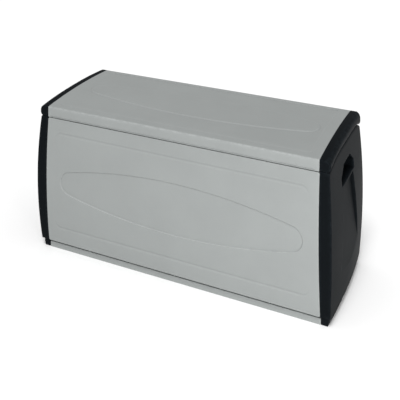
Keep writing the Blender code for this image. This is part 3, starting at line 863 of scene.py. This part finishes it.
class BOX_OT_long_walls(bpy.types.Operator):
    """Make the bowed grey front and back panels with their grooves and sunk ovals"""
    bl_idname = "deckbox.long_walls"
    bl_label = "Front and back panels"

    def execute(self, context):
        sizes = context.scene.box_relief
        low = (-PANEL_HALF, WALL_FOOT)
        high = (PANEL_HALF, SEAM)
        margins = (sizes.field_margin * FIELD_FOOT, FIELD_SIDE, sizes.field_margin, FIELD_SIDE)
        field = field_outline(low, high, FIELD_CORNER, margins, WIDE_COUNTS)

        def oval(grow):
            return long_oval(*WALL_OVAL, grow, WIDE_COUNTS)

        for name, side in (("front", -1), ("back", 1)):
            bm = make_wall_sheet(sizes, low, high, field, oval)
            put(bm, wall_place(side))
            thicken(bm, (0.0, side, 0.0))
            skirt = WALL_Y + (LID_PROUD if side < 0 else 0.0) - WALL
            absorb(bm, block((-PANEL_HALF + FLANGE, side * (skirt - LIP_GAP), SEAM - WALL / 2),
                             (PANEL_HALF - FLANGE, side * (skirt - LIP_GAP - LIP_WALL),
                              SEAM + LIP_RISE), TONGUE_ROUND))
            if side > 0:
                for station in HINGE_STATIONS.values():
                    for step in (-1, 1):
                        seat, outward = body_screw_place(station + step * LEAF_SCREW_X)
                        skin = seat - outward * (LEAF + GAP)
                        absorb(bm, rod(skin - outward * WALL / 2, skin - outward * BOSS_DEPTH,
                                       BOSS_R, BAR_ROUND))
            make_piece(name + "_wall", bm, finish_named(context, "grey"), "box",
                       name + "_panel")
        return {'FINISHED'}


def make_wall_sheet(sizes, low, high, field, oval):
    """The flat sheet of a long wall: flange, rolled edge, groove, field and sunk oval."""
    counts = WIDE_COUNTS
    roll = sizes.edge_round
    corner = sizes.corner_round
    edge = inset_frame(low, high, corner, (0, 0, 0, 0), counts)
    high = (high[0], high[1] - sizes.seam_gap)
    lowered = inset_frame(low, high, corner, (0, 0, 0, 0), counts)
    rings = [lifted(edge, -FLANGE), lifted(edge, -FLANGE * 0.8), lifted(edge, -REBATE - 0.0002)]
    rings += [lifted(lowered, -depth) for depth in (REBATE, REBATE / 2, 1.3 * roll)]
    rings += rolled_edge(low, high, corner, (roll, roll, roll / 3, roll), counts)
    border = lifted(inset_frame(low, high, corner, [0.006] * 4, counts), 0.0)
    fade = side_values((1, 0, 1, 0), counts)
    groove = relief(field, sizes.groove_width, groove_height(sizes.groove_depth), fade)
    step = relief(oval, sizes.oval_slope, step_height(0.0, -sizes.oval_step))
    rings += [border] + between(border, groove[0], 2) + groove
    rings += between(groove[-1], step[0], 6) + step
    return ring_sheet(rings, counts)


def body_screw_place(x):
    """Seat and outward direction of a screw through a body leaf."""
    z = HINGE_LINE.z - BODY_SCREW_DROP
    reach = 1e-4
    slope = (bowed(0.0, WALL_Y, z + reach).y - bowed(0.0, WALL_Y, z - reach).y) / (2 * reach)
    outward = Vector((0.0, 1.0, -slope)).normalized()
    return bowed(x, WALL_Y + GAP + LEAF, z), outward


class BOX_OT_floor_tray(bpy.types.Operator):
    """Make the grey floor tray, whose front edge is the plinth"""
    bl_idname = "deckbox.floor_tray"
    bl_label = "Floor tray"

    def execute(self, context):
        counts = WIDE_COUNTS
        length = PANEL_HALF - GAP
        low = (-length, -RAIL_Y)
        high = (length, RAIL_Y)
        edge = inset_frame(low, high, TRAY_CORNER, (0, 0, 0, 0), counts)
        turned_in = inset_frame(low, high, TRAY_CORNER, [RIM_TURN] * 4, counts)
        set_back = inset_frame(low, high, TRAY_CORNER, [LEDGE_DEPTH] * 4, counts)
        ledge = context.scene.box_relief.seam_gap * LEDGE_HEIGHT
        rings = [lifted(edge, -FLOOR_TOP), lifted(edge, -FLOOR_TOP * 0.93),
                 lifted(edge, -FLOOR_TOP * 0.5), lifted(edge, -ledge - RIM_TURN),
                 lifted(turned_in, -ledge), lifted(set_back, -ledge), lifted(set_back, 0.0)]
        field = field_outline(low, high, 0.04, [0.045] * 4, counts)
        step = relief(field, 0.006, step_height(0.0, -TRAY_SUNK))
        rings += between(rings[-1], step[0], 2) + step
        inner = lifted(inset_frame(low, high, 0.03, [0.09] * 4, counts), -TRAY_SUNK)
        rings += between(step[-1], inner, 1) + [inner]
        bm = ring_sheet(rings, counts)
        put(bm, floor_place)
        thicken(bm, (0.0, 0.0, 1.0))
        under = FLOOR_TOP - WALL
        for place in even_places(-length, length, FLOOR_CROSS_RIBS):
            absorb(bm, block((place - RIB_WALL / 2, -RAIL_Y + WALL / 2, GAP),
                             (place + RIB_WALL / 2, RAIL_Y - WALL / 2, under), RIB_ROUND))
        absorb(bm, block((-length + WALL / 2, -RIB_WALL / 2, 2 * GAP),
                         (length - WALL / 2, RIB_WALL / 2, under), RIB_ROUND))
        make_piece("floor_tray", bm, finish_named(context, "grey"), "box", "floor_panel")
        return {'FINISHED'}


class BOX_OT_lid(bpy.types.Operator):
    """Make the crowned grey lid with its raised oval, ribs and screw bosses"""
    bl_idname = "deckbox.lid"
    bl_label = "Lid"

    def execute(self, context):
        sizes = context.scene.box_relief
        counts = WIDE_COUNTS
        length = PANEL_HALF - GAP
        low = (-length, -WALL_Y - LID_PROUD)
        high = (length, WALL_Y)
        front, rear = LID_ROLLS
        band = BAND - GAP
        edge = inset_frame(low, high, LID_CORNER, (0, 0, 0, 0), counts)
        turned_in = inset_frame(low, high, LID_CORNER, (LID_RIM_TURN, 0, LID_RIM_TURN, 0), counts)
        drops = side_values((band - front, LID_END_DROP, band - rear, LID_END_DROP), counts)
        rings = [lifted(turned_in, [-drop for drop in drops])]
        rings += [lifted(edge, [-drop * part for drop in drops]) for part in (0.97, 0.8, 0.5, 0.22)]
        rings += rolled_edge(low, high, LID_CORNER, (front, LID_END_ROLL, rear, LID_END_ROLL),
                             counts, (0, LID_END_ROLL, 0, LID_END_ROLL))
        field = field_outline(low, high, LID_FIELD_CORNER, LID_FIELD, counts)

        def oval(grow):
            return long_oval(*LID_OVAL, grow, counts)

        fade = side_values((1, 0, 1, 0), counts)
        drop = lid_groove_height(sizes.groove_depth * LID_GROOVE)
        groove = relief(field, sizes.groove_width, drop, fade)
        step = relief(oval, sizes.oval_slope * LID_SLOPE, step_height(-sizes.oval_step, 0.0))
        rings += between(rings[-1], groove[0], 2) + groove
        rings += between(groove[-1], step[0], 6) + step
        bm = ring_sheet(rings, counts)
        put(bm, lid_place)
        thicken(bm, (0.0, 0.0, 1.0))
        for place in even_places(-length, length, LID_RIBS):
            absorb(bm, lid_rib(place))
        for station in HINGE_STATIONS.values():
            for step_side in (-1, 1):
                x = station + step_side * LEAF_SCREW_X
                z = HINGE_LINE.z + LID_SCREW_RISE
                absorb(bm, rod((x, WALL_Y - WALL / 2, z), (x, WALL_Y - BOSS_DEPTH, z),
                               BOSS_R, BAR_ROUND))
        for x, y, z in cap_screw_places():
            top = CREASE + lid_rise(y) - WALL + GAP
            absorb(bm, rod((x, y, top), (x, y, z + TONGUE_WALL + GAP), BOSS_R, BAR_ROUND))
        make_piece("lid_shell", bm, finish_named(context, "grey"), "lid", "lid_panel")
        return {'FINISHED'}


def lid_rib(place):
    """A cross rib under the lid that follows its crown."""
    bottom = SEAM + LID_RIB_RISE
    top = CREASE - WALL + GAP
    front = -WALL_Y - LID_PROUD + WALL / 2
    rear = WALL_Y - WALL / 2
    bm = block((place - RIB_WALL / 2, front, bottom), (place + RIB_WALL / 2, rear, top),
               RIB_ROUND, ((1, even_places(front, rear, 15)),))
    for vertex in bm.verts:
        vertex.co.z += lid_rise(vertex.co.y) * share(vertex.co.z, bottom, top)
    return bm


def cap_screw_places():
    """Seats of the four screws that hold the lid caps from below."""
    x, y, z = CAP_SCREW
    return [(side * x, face * y, z) for side in (-1, 1) for face in (-1, 1)]


class BOX_OT_lid_caps(bpy.types.Operator):
    """Make the two black lid caps with their rounded noses and tongues"""
    bl_idname = "deckbox.lid_caps"
    bl_label = "Lid caps"

    def execute(self, context):
        counts = CAP_COUNTS
        bottom = SEAM + CAP_GAP
        low = (-WALL_Y - LID_PROUD, bottom)
        high = (WALL_Y, CREASE)
        corner = LID_ROLLS[0]
        under, over = CAP_ROLLS
        drop = CAP_X - PANEL_HALF - GAP
        edge = inset_frame(low, high, corner, (0, 0, 0, 0), counts)
        turned_in = inset_frame(low, high, corner, [RIM_TURN] * 4, counts)
        rim = [lifted(turned_in, -drop), lifted(edge, -drop + RIM_TURN)]
        rolled = rolled_edge(low, high, corner, (under, CAP_SIDE_ROLL, over, CAP_SIDE_ROLL),
                             counts, (0, CAP_SIDE_ROLL, 0, CAP_SIDE_ROLL))
        rings = rim + between(rim[-1], rolled[0], 2) + rolled
        for word, side in (("left", -1), ("right", 1)):
            bm = ring_sheet(rings, counts)
            open_faces = [face for face in bm.faces
                          if face.calc_center_median().y < bottom + 0.0008
                          and face.calc_center_median().z < -GAP]
            bmesh.ops.delete(bm, geom=open_faces, context='FACES')
            put(bm, cap_place(side))
            thicken(bm, (side, 0.0, 0.0))
            for face in (-1, 1):
                middle = face * CAP_SCREW[1]
                absorb(bm, block((side * TONGUE_X, middle - TONGUE_HALF, CAP_SCREW[2]),
                                 (side * (CAP_X - 2 * WALL), middle + TONGUE_HALF,
                                  CAP_SCREW[2] + TONGUE_WALL), TONGUE_ROUND))
            make_piece("lid_cap_shell_" + word, bm, finish_named(context, "black"), "lid",
                       "lid_cap_" + word)
        return {'FINISHED'}


# ---------------------------------------------------------------- the black ends

def sides_of(points):
    """Starting point and outward direction of each side of a convex outline."""
    made = []
    for start, end in zip(points, points[1:] + points[:1]):
        along = (Vector(end) - Vector(start)).normalized()
        made.append((Vector(start), Vector((along.y, -along.x))))
    return made


def outside_by(sides, point):
    """How far a point lies outside a convex outline; below nothing when it is inside."""
    return max((point - start).dot(outward) for start, outward in sides)


def grip_sides():
    """Sides of the grip's mouth on the flat skin."""
    corners = ((-GRIP_HALF, GRIP_LOW), (GRIP_HALF, GRIP_LOW), (GRIP_HALF, GRIP_SHOULDER),
               (GRIP_TOP_HALF, GRIP_HIGH), (-GRIP_TOP_HALF, GRIP_HIGH),
               (-GRIP_HALF, GRIP_SHOULDER))
    return sides_of([flattened(*corner) for corner in corners])


def scoop_sides():
    """Sides of the scoop under the grip on the flat skin."""
    high = GRIP_LOW - SILL
    corners = ((-SCOOP_LOW_HALF, SCOOP_LOW), (SCOOP_LOW_HALF, SCOOP_LOW),
               (SCOOP_HIGH_HALF, high), (-SCOOP_HIGH_HALF, high))
    return sides_of([flattened(*corner) for corner in corners])


def skin_x(y, z):
    """Distance of an end's outer skin from the middle of the box."""
    return bowed(END_X, y, z).x


def scoop_depth(sides, point):
    """How far the scoop sinks the skin at a point."""
    inside = -outside_by(sides, point)
    high = GRIP_LOW - SILL
    part = share(point.y, SCOOP_LOW, high)
    upper = skin_x(0.0, high) - SCOOP_DEPTH
    lower = skin_x(0.0, SCOOP_LOW)
    plane = lower + (upper - lower) * part
    return min(plane - skin_x(*point), 0.0) * eased(inside / SCOOP_WALL)


def mouth_depth(sides, point):
    """How far the rounding of the grip's mouth sinks the skin at a point."""
    outside = share(outside_by(sides, point), 0.0, MOUTH_ROUND)
    return -MOUTH_ROUND * (1.0 - math.sqrt(max(1.0 - (1.0 - outside) ** 2, 0.0)))


def slice_lines(bm, faces, sides, distances):
    """Cut a flat region along lines at some distances from an outline's sides."""
    for start, outward in sides:
        for distance in distances:
            point = start + outward * distance
            geom = faces(bm)
            bmesh.ops.bisect_plane(bm, geom=geom, dist=1e-6, plane_co=(*point, 0.0),
                                   plane_no=(*outward, 0.0))


def make_end_sheet(sizes):
    """The flat sheet of an end: wrap-round rim, rolled edges, scoop and grip pocket."""
    counts = SQUARE_COUNTS
    low = (-WALL_Y, WALL_FOOT)
    high = (WALL_Y, SEAM)
    strip = sizes.strip_round
    rolls = (END_FOOT_ROLL, strip, END_TOP_ROLL, strip)
    reach = END_REACH - GAP
    edge = inset_frame(low, high, END_CORNER, (0, 0, 0, 0), counts)

    def rim(depth):
        return [(u, v, bowed(END_X - depth, u, v).x - bowed(END_X, u, v).x) for u, v in edge]

    turned_in = inset_frame(low, high, END_CORNER, [RIM_TURN] * 4, counts)
    first = [(*point, depth) for point, (_, _, depth) in zip(turned_in, rim(reach))]
    rings = [first] + [rim(depth) for depth in (reach - RIM_TURN, 0.026, 0.018, 0.012)]
    rings += rolled_edge(low, high, END_CORNER, rolls, counts)
    inner = lifted(inset_frame(low, high, END_CORNER, [0.020] * 4, counts), 0.0)
    rings += between(rings[-1], inner, 2) + [inner]
    bm = ring_sheet(rings, counts)

    grip = grip_sides()
    scoop = scoop_sides()
    room_low = Vector((-SCOOP_LOW_HALF - 0.012, SCOOP_LOW - 0.012))
    room_high = Vector((SCOOP_LOW_HALF + 0.012, GRIP_HIGH + 0.008))

    def region(mesh):
        chosen = []
        for face in mesh.faces:
            middle = face.calc_center_median()
            if room_low.x < middle.x < room_high.x and room_low.y < middle.y < room_high.y:
                chosen.append(face)
        edges = {item for face in chosen for item in face.edges}
        verts = {item for face in chosen for item in face.verts}
        return list(verts) + list(edges) + chosen

    slice_lines(bm, region, scoop, SCOOP_LINES)
    slice_lines(bm, region, grip, MOUTH_LINES)
    for vertex in bm.verts:
        point = Vector(vertex.co[:2])
        if room_low.x < point.x < room_high.x and room_low.y < point.y < room_high.y:
            sunk = scoop_depth(scoop, point)
            vertex.co.z += min(sunk, mouth_depth(grip, point))
    bmesh.ops.dissolve_degenerate(bm, dist=4e-6, edges=bm.edges[:])
    sink_pocket(bm, grip)
    return bm


def sink_pocket(bm, grip):
    """Push the skin inside the grip's mouth in, as a pocket with a rounded back."""
    mouth = skin_x(0.0, GRIP_LOW)
    centre = sum((start for start, _ in grip), Vector((0.0, 0.0))) / len(grip)
    chosen = [face for face in bm.faces
              if outside_by(grip, Vector(face.calc_center_median()[:2])) < -1e-5]
    for depth, shrink in POCKET_STEPS:
        grown = bmesh.ops.extrude_face_region(bm, geom=chosen)["geom"]
        fresh = [item for item in grown if isinstance(item, bmesh.types.BMVert)]
        bmesh.ops.delete(bm, geom=[face for face in chosen if face.is_valid],
                         context='FACES')
        chosen = [item for item in grown if isinstance(item, bmesh.types.BMFace)]
        for vertex in fresh:
            flat = centre + (Vector(vertex.co[:2]) - centre) * shrink
            back = mouth - GRIP_DEPTH * depth - skin_x(*flat)
            vertex.co = (*flat, back)


class BOX_OT_ends(bpy.types.Operator):
    """Make the two black ends with their strips, hand grips and panel channels"""
    bl_idname = "deckbox.ends"
    bl_label = "Ends"

    def execute(self, context):
        sizes = context.scene.box_relief
        strip_y = WALL_Y - FLANGE - CHANNEL_GAP
        levels = even_places(WALL_FOOT, SEAM, 15)
        for word, side in (("left", -1), ("right", 1)):
            bm = make_end_sheet(sizes)
            put(bm, end_place(side))
            bmesh.ops.recalc_face_normals(bm, faces=bm.faces[:])
            thicken(bm, (side, 0.0, 0.0))
            for face in (-1, 1):
                strip = block((side * (PANEL_HALF - CHANNEL_REACH), face * strip_y,
                               WALL_FOOT + WALL + GAP),
                              (side * (END_X - WALL), face * (strip_y - CHANNEL_WALL),
                               SEAM - WALL - GAP), TONGUE_ROUND, ((2, levels),))
                put(strip, bowed)
                absorb(bm, strip)
            make_piece("end_shell_" + word, bm, finish_named(context, "black"), "box",
                       "end_panel_" + word)
        return {'FINISHED'}


class BOX_OT_base_ends(bpy.types.Operator):
    """Make the two black base ends that stand on the ground"""
    bl_idname = "deckbox.base_ends"
    bl_label = "Base ends"

    def execute(self, context):
        inner = PANEL_HALF + GAP
        rim = WALL_FOOT - RIM_GAP
        stations = even_places(-RAIL_Y, RAIL_Y, 19)
        for word, side in (("left", -1), ("right", 1)):
            bm = block((side * inner, -RAIL_Y, 0.0), (side * FOOT_X, RAIL_Y, rim), FOOT_ROUND,
                       ((1, stations),), 4)
            for vertex in bm.verts:
                draft = FOOT_DRAFT * (1.0 - share(vertex.co.z, 0.0, rim))
                place = bowed(vertex.co.x, vertex.co.y, WALL_FOOT)
                outward = share(abs(vertex.co.x), inner, FOOT_X)
                vertex.co.x = place.x - side * draft * outward
            piece = make_piece("base_end_shell_" + word, bm, finish_named(context, "black"),
                               "box", "base_end_" + word)
            seats = bmesh.new()
            for face in (-1, 1):
                x, y, seat = side * BASE_SCREW[0], face * BASE_SCREW[1], BASE_SCREW[2]
                absorb(seats, rod((x, y, -WALL), (x, y, seat), HEAD_R + 2 * GAP))
            carve(piece, seats)
        return {'FINISHED'}


class BOX_OT_hinges(bpy.types.Operator):
    """Make the three pinned hinges along the back"""
    bl_idname = "deckbox.hinges"
    bl_label = "Hinges"

    def execute(self, context):
        black = finish_named(context, "black")
        for word, station in HINGE_STATIONS.items():
            make_piece("body_leaf_" + word, body_leaf(station), black, "box",
                       "hinge_body_leaf_" + word)
            make_piece("lid_leaf_" + word, lid_leaf(station), black, "lid",
                       "hinge_lid_leaf_" + word)
            make_piece("hinge_rod_" + word, hinge_pin(station),
                       finish_named(context, "steel"), "box", "hinge_pin_" + word)
        return {'FINISHED'}


def body_leaf(station):
    """The leaf on the back panel, with the two outer knuckles."""
    face = WALL_Y + GAP
    low = HINGE_LINE.z - BODY_LEAF_END
    high = HINGE_LINE.z - LEAF_START
    bm = block((station - HINGE_HALF, face, low), (station + HINGE_HALF, face + LEAF, high),
               LEAF_ROUND, ((2, even_places(low, high, 4)),))
    put(bm, bowed)
    for step in (-1, 1):
        inner = station + step * (KNUCKLE_SPLIT + KNUCKLE_GAP)
        outer = station + step * (HINGE_HALF - GAP)
        absorb(bm, block((inner, face + GAP, high - ARM_LAP), (outer, face + LEAF, HINGE_LINE.z),
                         LEAF_ROUND / 2))
        absorb(bm, rod((inner, HINGE_LINE.y, HINGE_LINE.z), (outer, HINGE_LINE.y, HINGE_LINE.z),
                       KNUCKLE_R, BAR_ROUND))
    return bm


def lid_leaf(station):
    """The leaf on the lid's back edge, with the middle knuckle."""
    face = WALL_Y + GAP
    low = HINGE_LINE.z + LEAF_START
    high = HINGE_LINE.z + LID_LEAF_END
    split = KNUCKLE_SPLIT
    bm = block((station - HINGE_HALF, face, low), (station + HINGE_HALF, face + LEAF, high),
               LEAF_ROUND)
    absorb(bm, block((station - split, face + GAP, HINGE_LINE.z),
                     (station + split, face + LEAF, low + ARM_LAP), LEAF_ROUND / 2))
    absorb(bm, rod((station - split, HINGE_LINE.y, HINGE_LINE.z),
                   (station + split, HINGE_LINE.y, HINGE_LINE.z), KNUCKLE_R, BAR_ROUND))
    return bm


def hinge_pin(station):
    """A steel hinge pin with a rounded head at one end."""
    half = HINGE_HALF + KNUCKLE_GAP
    tip = PIN_R / 3
    top = half + PIN_HEAD
    profile = [(PIN_R - tip, -half), (PIN_R, -half + tip), (PIN_R, half), (PIN_HEAD_R, half),
               (PIN_HEAD_R, top - tip), (PIN_HEAD_R - 0.3 * tip, top - 0.3 * tip),
               (PIN_HEAD_R - tip, top)]
    bm = turned(profile)
    return aim(bm, (station, HINGE_LINE.y, HINGE_LINE.z), (1.0, 0.0, 0.0))


class BOX_OT_screws(bpy.types.Operator):
    """Make the pan-head screws of the hinges, the lid caps and the base ends"""
    bl_idname = "deckbox.screws"
    bl_label = "Screws"

    def execute(self, context):
        steel = finish_named(context, "steel")
        for word, station in HINGE_STATIONS.items():
            for letter, step in (("a", -1), ("b", 1)):
                x = station + step * LEAF_SCREW_X
                tail = f"{word}_{letter}"
                seat, outward = body_screw_place(x)
                make_piece("body_leaf_screw_" + tail, screw(seat, outward, SCREW_LENGTH), steel,
                           "box", "hinge_body_screw_" + tail)
                seat = Vector((x, WALL_Y + GAP + LEAF, HINGE_LINE.z + LID_SCREW_RISE))
                make_piece("lid_leaf_screw_" + tail, screw(seat, (0, 1, 0), SCREW_LENGTH), steel,
                           "lid", "hinge_lid_screw_" + tail)
        for word, side in (("left", -1), ("right", 1)):
            for depth, face in (("front", -1), ("rear", 1)):
                tail = f"{word}_{depth}"
                for kind, body, seat, length in (
                        ("cap", "lid", CAP_SCREW, SCREW_LENGTH),
                        ("base", "box", BASE_SCREW, BASE_SCREW_LENGTH)):
                    place = Vector((side * seat[0], face * seat[1], seat[2]))
                    make_piece(f"{kind}_fixing_{tail}", screw(place, (0, 0, -1), length), steel,
                               body, f"{kind}_screw_{tail}")
        return {'FINISHED'}


def screw(seat, outward, length):
    """A pan-head screw with a ridged shank and a cross recess, seated on its head's flat side."""
    root = SHANK_R - THREAD_RIDGE
    shank = [(SHANK_R / 3, -length), (SHANK_R * 0.8, -length + SHANK_R)]
    for number in range(int((length - 2.2 * SHANK_R) / THREAD_PITCH)):
        base = -length + 1.2 * SHANK_R + number * THREAD_PITCH
        shank += [(root, base), (SHANK_R, base + THREAD_PITCH * 0.5)]
    head = [(root, -0.0004), (root, 0.0), (HEAD_R, 0.0), (HEAD_R, HEAD_H * 0.3)]
    dome = [(HEAD_R * (0.55 + 0.45 * math.cos(turn)), HEAD_H * (0.3 + 0.7 * math.sin(turn)))
            for turn in (0.35, 0.7, 1.05, 1.4, QUARTER_TURN)]
    bm = turned(shank + head + dome, HEAD_H * 0.55)
    outward = Vector(outward).normalized()
    return aim(bm, Vector(seat) + outward * GAP, outward)


# ---------------------------------------------------------------- studio

class BOX_OT_studio(bpy.types.Operator):
    """Make the floor, the lights and the camera"""
    bl_idname = "deckbox.studio"
    bl_label = "Studio"

    def execute(self, context):
        settings = context.scene.box_studio
        bm = bmesh.new()
        bmesh.ops.create_grid(bm, x_segments=8, y_segments=8, size=FLOOR_HALF)
        mesh = bpy.data.meshes.new("studio_floor")
        bm.to_mesh(mesh)
        bm.free()
        mesh.materials.append(floor_material(settings.floor))
        ground = bpy.data.objects.new("studio_floor", mesh)
        context.scene.collection.objects.link(ground)

        world = bpy.data.worlds.new("studio_room")
        world.use_nodes = True
        room = world.node_tree.nodes["Background"]
        room.inputs["Color"].default_value = (1.0, 1.0, 1.0, 1.0)
        room.inputs["Strength"].default_value = settings.sky
        context.scene.world = world
        add_light("key_light", 'AREA', KEY_PLACE, KEY_TARGET, settings.key, KEY_SIZE)
        add_light("window_light", 'SUN', SUN_PLACE, SUN_TARGET, settings.sun, SUN_ANGLE)
        context.scene.view_settings.view_transform = 'Standard'
        add_camera(context)
        return {'FINISHED'}


def add_light(name, kind, place, target, power, softness):
    """A soft light that looks at a target; softness is its size, or its angle for a sun."""
    data = bpy.data.lights.new(name, kind)
    data.energy = power
    if kind == 'AREA':
        data.shape = 'SQUARE'
        data.size = softness
    else:
        data.angle = softness
    light = bpy.data.objects.new(name, data)
    light.location = place
    light.rotation_euler = (Vector(target) - Vector(place)).to_track_quat('-Z', 'Y').to_euler()
    bpy.context.scene.collection.objects.link(light)


def add_camera(context):
    """A camera with an upright film plane, which keeps the box's uprights upright."""
    data = bpy.data.cameras.new("studio_camera")
    data.sensor_width = FILM_WIDTH
    data.lens = CAMERA_LENS
    camera = bpy.data.objects.new("studio_camera", data)
    rig = bpy.data.objects.new("studio_camera_rig", None)
    for item in (rig, camera):
        context.scene.collection.objects.link(item)
    right = Vector((math.cos(CAMERA_YAW), -math.sin(CAMERA_YAW), 0.0))
    ahead = Vector((math.sin(CAMERA_YAW), math.cos(CAMERA_YAW), 0.0))
    up = Vector((0.0, 0.0, 1.0))
    back = (up * FILM_DROP - ahead).normalized()
    stand = Matrix((right, up, back)).transposed().to_4x4()
    stand.translation = CAMERA_PLACE
    camera.parent = rig
    camera.matrix_parent_inverse = stand
    context.scene.camera = camera


# ---------------------------------------------------------------- panel and running

OPERATORS = (BOX_OT_long_walls, BOX_OT_floor_tray, BOX_OT_lid, BOX_OT_lid_caps, BOX_OT_ends,
             BOX_OT_base_ends, BOX_OT_hinges, BOX_OT_screws, BOX_OT_studio)
GROUPS = {"box_relief": ReliefSizes, "box_colours": FinishColours, "box_studio": StudioLight}


class BOX_PT_sidebar(bpy.types.Panel):
    """Sizes, finishes and pieces of the deck box"""
    bl_idname = "BOX_PT_sidebar"
    bl_label = "Deck Box"
    bl_space_type = 'VIEW_3D'
    bl_region_type = 'UI'
    bl_category = "Deck Box"

    def draw(self, context):
        for name, group in GROUPS.items():
            column = self.layout.column(align=True)
            for key in group.__annotations__:
                column.prop(getattr(context.scene, name), key)
        for operator in OPERATORS:
            self.layout.operator(operator.bl_idname)


CLASSES = (*GROUPS.values(), *OPERATORS, BOX_PT_sidebar)


def register():
    """Add the classes and the scene's settings."""
    for kind in CLASSES:
        bpy.utils.register_class(kind)
    for name, group in GROUPS.items():
        setattr(bpy.types.Scene, name, bpy.props.PointerProperty(type=group))


def unregister():
    """Take the settings and the classes away again."""
    for name in GROUPS:
        delattr(bpy.types.Scene, name)
    for kind in reversed(CLASSES):
        bpy.utils.unregister_class(kind)


def main():
    """Make every piece."""
    register()
    for operator in OPERATORS:
        _, name = operator.bl_idname.split(".")
        getattr(bpy.ops.deckbox, name)()


if __name__ == "__main__":
    main()
